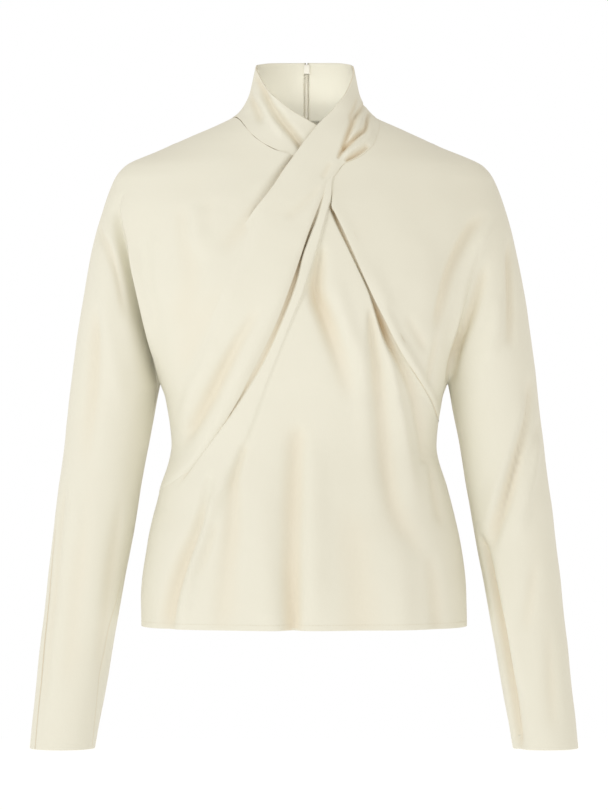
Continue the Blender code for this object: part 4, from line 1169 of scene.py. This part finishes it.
def collar_back(side, name):
    stations = np.linspace(0, 1, 74)
    across = np.linspace(0, 1, 44)[None, :]
    turn, z = (between(COLLAR_BACK("upper_" + word, stations), COLLAR_BACK("lower_" + word, stations),
                       across) for word in ("turn", "height"))
    if side < 0:
        turn = SIDE_TURN + (turn - SIDE_TURN) * RIGHT_EASE
    form_x = side * across_at(turn, z)
    place, normal = on_form(beside_zip(form_x, side, OUTSIDE_EDGE), z, "back")
    collar = raised(place, normal, fold_rise(place, ())[0])
    place, inward = on_form(beside_zip(form_x, side, FACING_EDGE), z, "back")
    radius = SIDE_ROUND + (ZIP_ROUND - SIDE_ROUND) * smooth_step(stations / ROUND_GROWN)
    facing = raised(place, inward, fold_rise(place, ())[0] - 2 * radius[:, None])[:, FACING_TOP:]
    inward = inward[:, FACING_TOP:]
    arc = side_edge(collar, normal, "first column", radius, 180, 0)[:, :-1]
    gap = OUTSIDE_EDGE + (FACING_EDGE - OUTSIDE_EDGE) * np.linspace(0, 1, arc.shape[1])[None, :]
    arc[:, :, 0] = beside_zip(arc[:, :, 0], side, gap)
    # A strip that closes the side seam between the collar and its facing.
    closing = np.stack((np.concatenate((collar[0, :0:-1], arc[0, :4])),
                        np.concatenate((facing[0, ::-1], arc[0, [6, 6, 5, 4, 3]]))))
    make_sheet(name, [
        collar,
        np.concatenate((arc, facing), axis=1),
        side_edge(facing, -inward, "last row", FACING_ROUND, 90, FACING_TAIL),
        seam_edge(collar, normal, "last column", NECK_TAIL),
        seam_edge(collar, normal, "last row", ZIP_TAIL),
        closing,
    ], "back")


for side, word in ((-1, "right"), (1, "left")):
    back_panel(side, f"back_{word}_cloth")
    collar_back(side, f"collar_back_{word}_cloth")

# %% [markdown]
# ## A short way to write nodes
# Materials and Geometry Nodes are both trees of nodes. One small class adds any node, and a
# wrapped socket takes plain arithmetic, so a rule for a weave reads as a formula.

# %% Arithmetic on sockets


class Value:
    """A socket of a tree; arithmetic on it adds Math nodes."""

    def __init__(self, tree, socket):
        self.tree, self.socket = tree, socket

    def __add__(self, other):
        return self.tree.math("ADD", self, other)

    def __sub__(self, other):
        return self.tree.math("SUBTRACT", self, other)

    def __rsub__(self, other):
        return self.tree.math("SUBTRACT", other, self)

    def __mul__(self, other):
        return self.tree.math("MULTIPLY", self, other)

    __radd__, __rmul__ = __add__, __mul__


print("made:", Value.__name__)

# %% Any node by one method


class Tree:
    """A node tree that is written from Python."""

    def __init__(self, tree):
        self.nodes, self.links = tree.nodes, tree.links

    def add(self, kind, settings=None, sockets=None, output=0):
        """One node: its settings first, then the values or links of its sockets."""
        node = self.nodes.new(kind)
        for name, value in (settings or {}).items():
            setattr(node, name, value)
        for name, value in (sockets or {}).items():
            if isinstance(value, Value):
                self.links.new(value.socket, node.inputs[name])
            else:
                node.inputs[name].default_value = value
        return Value(self, node.outputs[output])

    def math(self, operation, first, second):
        return self.add("ShaderNodeMath", {"operation": operation}, {0: first, 1: second})


print("made:", Tree.__name__)

# %% A finish


class Finish(Tree):
    """A material: constants on its shader's own sockets, patterns linked into a few of them."""

    def __init__(self, name, **constants):
        self.material = bpy.data.materials.new(name)
        self.material.use_nodes = True
        super().__init__(self.material.node_tree)
        self.shader = self.nodes["Principled BSDF"]
        for key, value in constants.items():
            self.shader.inputs[key.replace("_", " ")].default_value = value

    def place(self):
        return self.add("ShaderNodeTexCoord", output="Object")

    def noise(self, place, scale, detail=2.0, stretch=(1, 1, 1)):
        place = self.add("ShaderNodeMapping", {}, {"Vector": place, "Scale": stretch})
        return self.add("ShaderNodeTexNoise", {}, {"Vector": place, "Scale": scale,
                                                   "Detail": detail, "Roughness": 0.55})

    def waves(self, turn, direction, **sizes):
        """Bands across the piece, turned by angles in radians."""
        place = self.add("ShaderNodeMapping", {}, {"Vector": self.place(), "Rotation": turn})
        return self.add("ShaderNodeTexWave", {"bands_direction": direction},
                        {"Vector": place, **sizes}, output="Fac")

    def share(self, attribute):
        return self.add("ShaderNodeAttribute", {"attribute_name": attribute}, output="Fac")

    def blend(self, share, first, second):
        """A colour between two, by a share from 0 to 1."""
        return self.add("ShaderNodeMix", {"data_type": "RGBA"},
                        {0: share, 6: first, 7: second}, output=2)

    def shade(self, colour, amount):
        """A colour made lighter or darker by an amount near 1."""
        return self.add("ShaderNodeVectorMath", {"operation": "SCALE"},
                        {"Vector": colour, "Scale": amount})

    def patterns(self, colour, roughness, height, depth):
        """Link the colour, the roughness and a relief of a given depth in metres."""
        bump = self.add("ShaderNodeBump", {}, {"Height": height, "Distance": depth,
                                               "Strength": 1.0})
        for value, name in ((colour, "Base Color"), (roughness, "Roughness"), (bump, "Normal")):
            self.links.new(value.socket, self.shader.inputs[name])
        return self.material


print("made:", Finish.__name__)

# %% [markdown]
# ## Ivory crepe
# The cloth is a satin-backed crepe: a warm, nearly matt face with a soft sheen. Its twisted
# threads make a fine pebble in both directions of the weave. The hollows and creases of the folds
# are painted a warmer, darker ivory: painted shade for the light that bounces between the sides of
# a fold. An image would blur up close, so the weave is two stretched noises, one for each set of
# threads.

# %% Ivory crepe
IVORY = (0.786, 0.764, 0.650, 1)
# Painted shade colours: a warmer ivory for the hollows, a deeper one for the creases.
HOLLOW_SHADE_IVORY = (0.785, 0.700, 0.545, 1)
CREASE_SHADE_IVORY = (0.640, 0.460, 0.240, 1)
CREAM = (0.806, 0.786, 0.684, 1)
PEBBLE_DEPTH = 0.00022


def crepe_finish():
    crepe = Finish("ivory_crepe", Sheen_Weight=0.14, Sheen_Roughness=0.45, IOR=1.42)
    cloth = crepe.add("ShaderNodeUVMap", {"uv_map": "Cloth"})
    warp = crepe.noise(cloth, 1.0, 1.5, (1900, 620, 1))
    weft = crepe.noise(cloth, 1.0, 1.5, (560, 1700, 1))
    slub = crepe.noise(cloth, 1.0, 1.0, (80, 1200, 1))
    pebble = warp * 0.45 + weft * 0.4 + slub * 0.15
    cloudy = crepe.noise(crepe.place(), 7.0, 3.0)
    colour = crepe.blend(cloudy * 0.5, IVORY, CREAM)
    # Painted shade: the hollows and creases of the folds are painted warmer and darker.
    colour = crepe.blend(crepe.share("hollow") * 0.8, colour, HOLLOW_SHADE_IVORY)
    colour = crepe.blend(crepe.share("crease") * 0.7, colour, CREASE_SHADE_IVORY)
    colour = crepe.shade(colour, 0.96 + pebble * 0.08)
    return crepe.patterns(colour, 0.48 + pebble * 0.20, pebble, PEBBLE_DEPTH)


crepe_material = crepe_finish()
for piece in cloth_pieces.values():
    piece.data.materials.append(crepe_material)
print("pieces of ivory crepe:", len(cloth_pieces))

# %% [markdown]
# ## Finishes of the zip
# The tapes are a close twill, the coil is drawn nylon, the slider is lacquered to match the
# cloth with a fine rubbed mottle, and the sewing thread is twisted from two plies.

# %% Tape, nylon, lacquer and thread


def tape_finish():
    tape = Finish("ivory_twill_tape", Sheen_Weight=0.1, IOR=1.4)
    twill = tape.waves((0, 0.7, 0), "Z", Scale=520, Distortion=1.2, Detail=1)
    colour = tape.blend(twill, (0.70, 0.66, 0.52, 1), (0.80, 0.765, 0.64, 1))
    return tape.patterns(colour, 0.68 + twill * 0.12, twill, 0.00012)


def nylon_finish():
    nylon = Finish("ivory_nylon", IOR=1.53)
    drawn = nylon.noise(nylon.place(), 900, 2.0, (0.25, 1, 1))
    colour = nylon.blend(drawn, (0.78, 0.74, 0.62, 1), (0.84, 0.815, 0.71, 1))
    return nylon.patterns(colour, 0.32 + drawn * 0.14, drawn, 0.00004)


def lacquer_finish():
    lacquer = Finish("ivory_lacquer", IOR=1.5)
    flow = lacquer.noise(lacquer.place(), 260)
    rubbed = lacquer.noise(lacquer.place(), 1500, 3.0)
    colour = lacquer.blend(rubbed, (0.80, 0.775, 0.69, 1), (0.86, 0.84, 0.76, 1))
    return lacquer.patterns(colour, 0.24 + rubbed * 0.16, flow, 0.00005)


def thread_finish():
    thread = Finish("ivory_thread", Sheen_Weight=0.1, IOR=1.45)
    plies = thread.waves((0.6, 0.6, 0), "X", Scale=900, Distortion=0.5)
    colour = thread.blend(plies, (0.69, 0.64, 0.50, 1), (0.78, 0.74, 0.61, 1))
    return thread.patterns(colour, 0.5 + plies * 0.15, plies, 0.00006)


lacquer_material, tape_material = lacquer_finish(), tape_finish()
for node, material in (("zip_tape_right", tape_material), ("zip_tape_left", tape_material),
                       ("zip_slider", lacquer_material), ("zip_pull", lacquer_material)):
    piece = bpy.data.objects[node]
    for slot in piece.material_slots:
        slot.material = material
    print(node, "has", len(piece.material_slots), "slot")

# %% [markdown]
# ## The coil and the stitches
# A zip's coil and a line of stitches are the same idea: one small shape repeated along a path.
# Geometry Nodes do that by a rule, so a longer seam simply gets more stitches. The result is
# made a plain mesh at the end.

# %% Repeat a shape along a path


def repeat_tree(name):
    """Beads along a path: each is long, wide and deep by its sizes, and tips from side to side."""
    group = bpy.data.node_groups.new(name, "GeometryNodeTree")
    inputs = (("Path", "Geometry"), ("Pitch", "Float"), ("Along", "Float"), ("Across", "Float"),
              ("Deep", "Float"), ("Tip", "Float"), ("Wander", "Float"), ("Seed", "Int"),
              ("Finish", "Material"))
    for label, kind in inputs:
        group.interface.new_socket(label, in_out="INPUT", socket_type="NodeSocket" + kind)
    group.interface.new_socket("Beads", in_out="OUTPUT", socket_type="NodeSocketGeometry")
    tree = Tree(group)
    source = group.nodes.new("NodeGroupInput")
    given = {socket.name: Value(tree, socket) for socket in source.outputs if socket.name}
    curve = tree.add("GeometryNodeMeshToCurve", {}, {"Mesh": given["Path"]})
    curve = tree.add("GeometryNodeResampleCurve", {"mode": "LENGTH"},
                     {"Curve": curve, "Length": given["Pitch"]})
    bead = tree.add("GeometryNodeMeshUVSphere", {}, {"Segments": 8, "Rings": 5, "Radius": 0.5})
    tangent = tree.add("GeometryNodeInputTangent")
    turn = tree.add("FunctionNodeAlignRotationToVector", {"axis": "Z"}, {"Vector": tangent})
    number = tree.add("GeometryNodeInputIndex")
    side = tree.math("MODULO", number, 2) * 2 - 1
    stray = tree.add("FunctionNodeRandomValue", {"data_type": "FLOAT"},
                     {2: -1.0, 3: 1.0, "Seed": given["Seed"]}, output=1)
    tip = tree.add("ShaderNodeCombineXYZ", {}, {"Y": side * given["Tip"] + stray * given["Wander"]})
    turn = tree.add("FunctionNodeRotateRotation", {"rotation_space": "LOCAL"},
                    {"Rotation": turn, "Rotate By": tip})
    scale = tree.add("ShaderNodeCombineXYZ", {}, {"X": given["Across"], "Y": given["Deep"],
                                                  "Z": given["Along"]})
    beads = tree.add("GeometryNodeInstanceOnPoints", {}, {"Points": curve, "Instance": bead,
                                                          "Rotation": turn, "Scale": scale})
    beads = tree.add("GeometryNodeRealizeInstances", {}, {"Geometry": beads})
    beads = tree.add("GeometryNodeSetShadeSmooth", {}, {"Geometry": beads})
    beads = tree.add("GeometryNodeSetMaterial", {}, {"Geometry": beads, "Material": given["Finish"]})
    end = group.nodes.new("NodeGroupOutput")
    group.links.new(beads.socket, end.inputs["Beads"])
    return group


BEADS = repeat_tree("beads_along_a_path")
print("nodes in the rule:", len(BEADS.nodes))

# %% Run the rule on a path


def beads_along(name, lines, finish, **sizes):
    """Run the rule on one or more lines of points and keep its result as a plain mesh."""
    points, edges = [], []
    for line in lines:
        first = len(points)
        points.extend(map(tuple, line.tolist()))
        edges.extend((k, k + 1) for k in range(first, len(points) - 1))
    path = bpy.data.meshes.new(name + "_path")
    path.from_pydata(points, edges, [])
    piece = bpy.data.objects.new(name, path)
    bpy.context.scene.collection.objects.link(piece)
    rule = piece.modifiers.new("Beads", "NODES")
    rule.node_group = BEADS
    chosen = {"Finish": finish, "Seed": 7, **sizes}
    for item in BEADS.interface.items_tree:
        if item.item_type == "SOCKET" and item.in_out == "INPUT" and item.name in chosen:
            rule[item.identifier] = chosen[item.name]
    ready = bpy.context.evaluated_depsgraph_get()
    mesh = bpy.data.meshes.new_from_object(piece.evaluated_get(ready))
    piece.modifiers.remove(rule)
    piece.data = mesh
    mesh.name = name
    print(f"{name}: {len(mesh.polygons)} faces")
    return piece


# %% Zip coil
COIL_TOP, COIL_END = 0.0495, -0.1618
COIL_IN = 0.0039
heights = np.linspace(COIL_TOP, COIL_END, 160)
middle = np.full_like(heights, ZIP_PLACE)
coil_line = raised(*on_form(middle, heights, "back"), np.full_like(heights, -COIL_IN))
zip_coil = beads_along("zip_coil_links", [coil_line], nylon_finish(), Pitch=0.00105, Along=0.00098,
                       Across=0.0046, Deep=0.0015, Tip=0.12)

# %% [markdown]
# ## Stitches of the hem and of the collar's facing
# A machine stitch shows as a short, rounded length of thread that sinks in at both ends. The same
# rule lays them, now along lines that are read from the finished cloth, folds and all.

# %% Stitches of the hem and of the collar's facing
THREAD = thread_finish()
THREAD_SIZES = {"Across": 0.00034, "Deep": 0.00026, "Wander": 0.05}
HEM_STITCHES = 0.0055        # above the hem's edge
THREAD_OUT = 0.00006
FACING_STITCHES = 0.0040     # to each side of the zip's middle


def cloth_line(x, z, face, folds, out):
    """A line of points on the finished cloth, lifted by a little."""
    place, normal = on_form(x, z, face)
    rise, _ = fold_rise(place, folds)
    return raised(place, normal, rise + out)


def hem_line(face, first, last, folds):
    height = np.full(400, HEM + HEM_STITCHES)
    turn = np.linspace(first, last, 400)
    return cloth_line(across_at(turn, height), height, face, folds, THREAD_OUT)


hem_lines = [hem_line("front", -88, 88, ALL_FOLDS + LOWER_FOLDS),
             hem_line("back", -88, -0.5, ALL_FOLDS), hem_line("back", 2, 88, ALL_FOLDS)]
hem_stitches = beads_along("hem_stitches", hem_lines, THREAD, Pitch=0.0032, Along=0.0024,
                           **THREAD_SIZES)
heights = np.linspace(COIL_TOP, -0.0035, 60)
facing_lines = [
    cloth_line(np.full_like(heights, ZIP_PLACE + beside), heights, "back", (),
               -2 * ZIP_ROUND - THREAD_OUT) for beside in (-FACING_STITCHES, FACING_STITCHES)]
facing_stitches = beads_along("facing_stitches", facing_lines, THREAD, Pitch=0.0026, Along=0.0019,
                              **THREAD_SIZES)

# %% [markdown]
# ## Joining the lesson to the measured model
# Each sheet stands for one plain piece, which is hidden, and rides with the garment. The table
# also gives the width and length in metres that each would be cut to, and its area. The plain
# pieces stay for the physics.

# %% Name what stands for what
CUTS = {
    "right_front_cloth": ("front_right", (0.44, 0.78), 0.16),
    "left_front_cloth": ("front_left", (0.44, 0.78), 0.15),
    "lower_front_cloth": ("front_lower", (0.48, 0.52), 0.17),
    "crossed_drape_cloth": ("cross_drape", (0.16, 0.70), 0.06),
    "collar_right_cloth": ("collar_front_right", (0.14, 0.08), 0.0078),
    "collar_left_cloth": ("collar_front_left", (0.14, 0.08), 0.005),
    "back_right_cloth": ("back_right", (0.44, 0.78), 0.22),
    "back_left_cloth": ("back_left", (0.44, 0.78), 0.22),
    "collar_back_right_cloth": ("collar_back_right", (0.11, 0.13), 0.0125),
    "collar_back_left_cloth": ("collar_back_left", (0.11, 0.13), 0.0125),
}
for name, (node, flat, area) in CUTS.items():
    piece = cloth_pieces[name]
    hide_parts(node)
    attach(piece, "garment")
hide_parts("zip_coil")
for piece, slot in ((zip_coil, "zip_coil"), (hem_stitches, "cloth"), (facing_stitches, "cloth")):
    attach(piece, "garment")
print("sheets:", len(CUTS))

# %% [markdown]
# ## Floor, light and camera
# The top hangs at the height of a wearer's shoulders over a pale floor, in the even light of
# large soft boxes.

# %% Floor and world
AMBIENT = (0.720, 0.685, 0.625, 1)
FLOOR_HALF, FLOOR_HEIGHT = 9, -1.42
world = bpy.data.worlds.new("studio")
world.use_nodes = True
studio = Tree(world.node_tree)
around = studio.add("ShaderNodeBackground", {}, {"Color": AMBIENT})
seen = studio.add("ShaderNodeBackground", {}, {"Color": (1, 1, 1, 1)})
ray = studio.add("ShaderNodeLightPath", output="Is Camera Ray")
choice = studio.add("ShaderNodeMixShader", {}, {0: ray, 1: around, 2: seen})
studio.links.new(choice.socket, studio.nodes["World Output"].inputs["Surface"])
bpy.context.scene.world = world
bpy.context.scene.view_settings.view_transform = "Standard"

floor_mesh = bpy.data.meshes.new("floor")
floor_mesh.from_pydata([(x * FLOOR_HALF, y * FLOOR_HALF, FLOOR_HEIGHT)
                        for x, y in ((-1, -1), (1, -1), (1, 1), (-1, 1))], [], [(0, 1, 2, 3)])
floor = bpy.data.objects.new("floor", floor_mesh)
bpy.context.scene.collection.objects.link(floor)
pale = Finish("pale_floor", Base_Color=(0.75, 0.75, 0.75, 1), Roughness=0.9,
              Emission_Color=(0.98, 0.99, 1, 1), Emission_Strength=0.52)
floor_mesh.materials.append(pale.material)
print("floor at", FLOOR_HEIGHT)

# %% Lights


def soft_box(name, place, aim, size, power, colour=(1, 1, 1)):
    """A square lamp that faces a point, as a studio's soft box does."""
    lamp = bpy.data.lights.new(name, "AREA")
    lamp.color = colour
    lamp.shape = "SQUARE"
    lamp.size = size
    lamp.energy = power
    box = bpy.data.objects.new(name, lamp)
    box.location = place
    direction = np.subtract(aim, place)
    box.rotation_euler = (
        math.atan2(math.hypot(direction[0], direction[1]), -direction[2]), 0,
        math.atan2(direction[1], direction[0]) - math.pi / 2)
    bpy.context.scene.collection.objects.link(box)
    return box


CHEST = (0, 0, -0.3)
soft_box("key", (-2.8, -2.7, 1.5), CHEST, 1.5, 40, (0.95, 1.0, 1.07))
soft_box("fill", (2.8, -3.0, 0.4), CHEST, 2.0, 8)

# A small lamp hidden inside the neck, as is used to show a back collar. It faces the back.
inside = soft_box("collar_inside", (0.003, -0.015, 0.012), (0.003, 0.105, 0.018), 0.04, 0.024)
inside.visible_camera = False
print("lamps:", len(bpy.data.lights))

# %% Camera
AWAY, MIDDLE = 4.5, -0.317       # how far off the camera stands, and how high
VIEW_HEIGHT = 0.891              # of what it sees at the middle of the top
camera_data = bpy.data.cameras.new("camera")
camera_data.sensor_fit = "VERTICAL"
camera_data.sensor_height = 36
camera_data.lens = camera_data.sensor_height * AWAY / VIEW_HEIGHT
camera = bpy.data.objects.new("camera", camera_data)
camera.location = (0, -AWAY, MIDDLE)
camera.rotation_euler = (math.pi / 2, 0, 0)
bpy.context.scene.collection.objects.link(camera)
bpy.context.scene.camera = camera
print("lens:", round(camera_data.lens, 1), "mm")
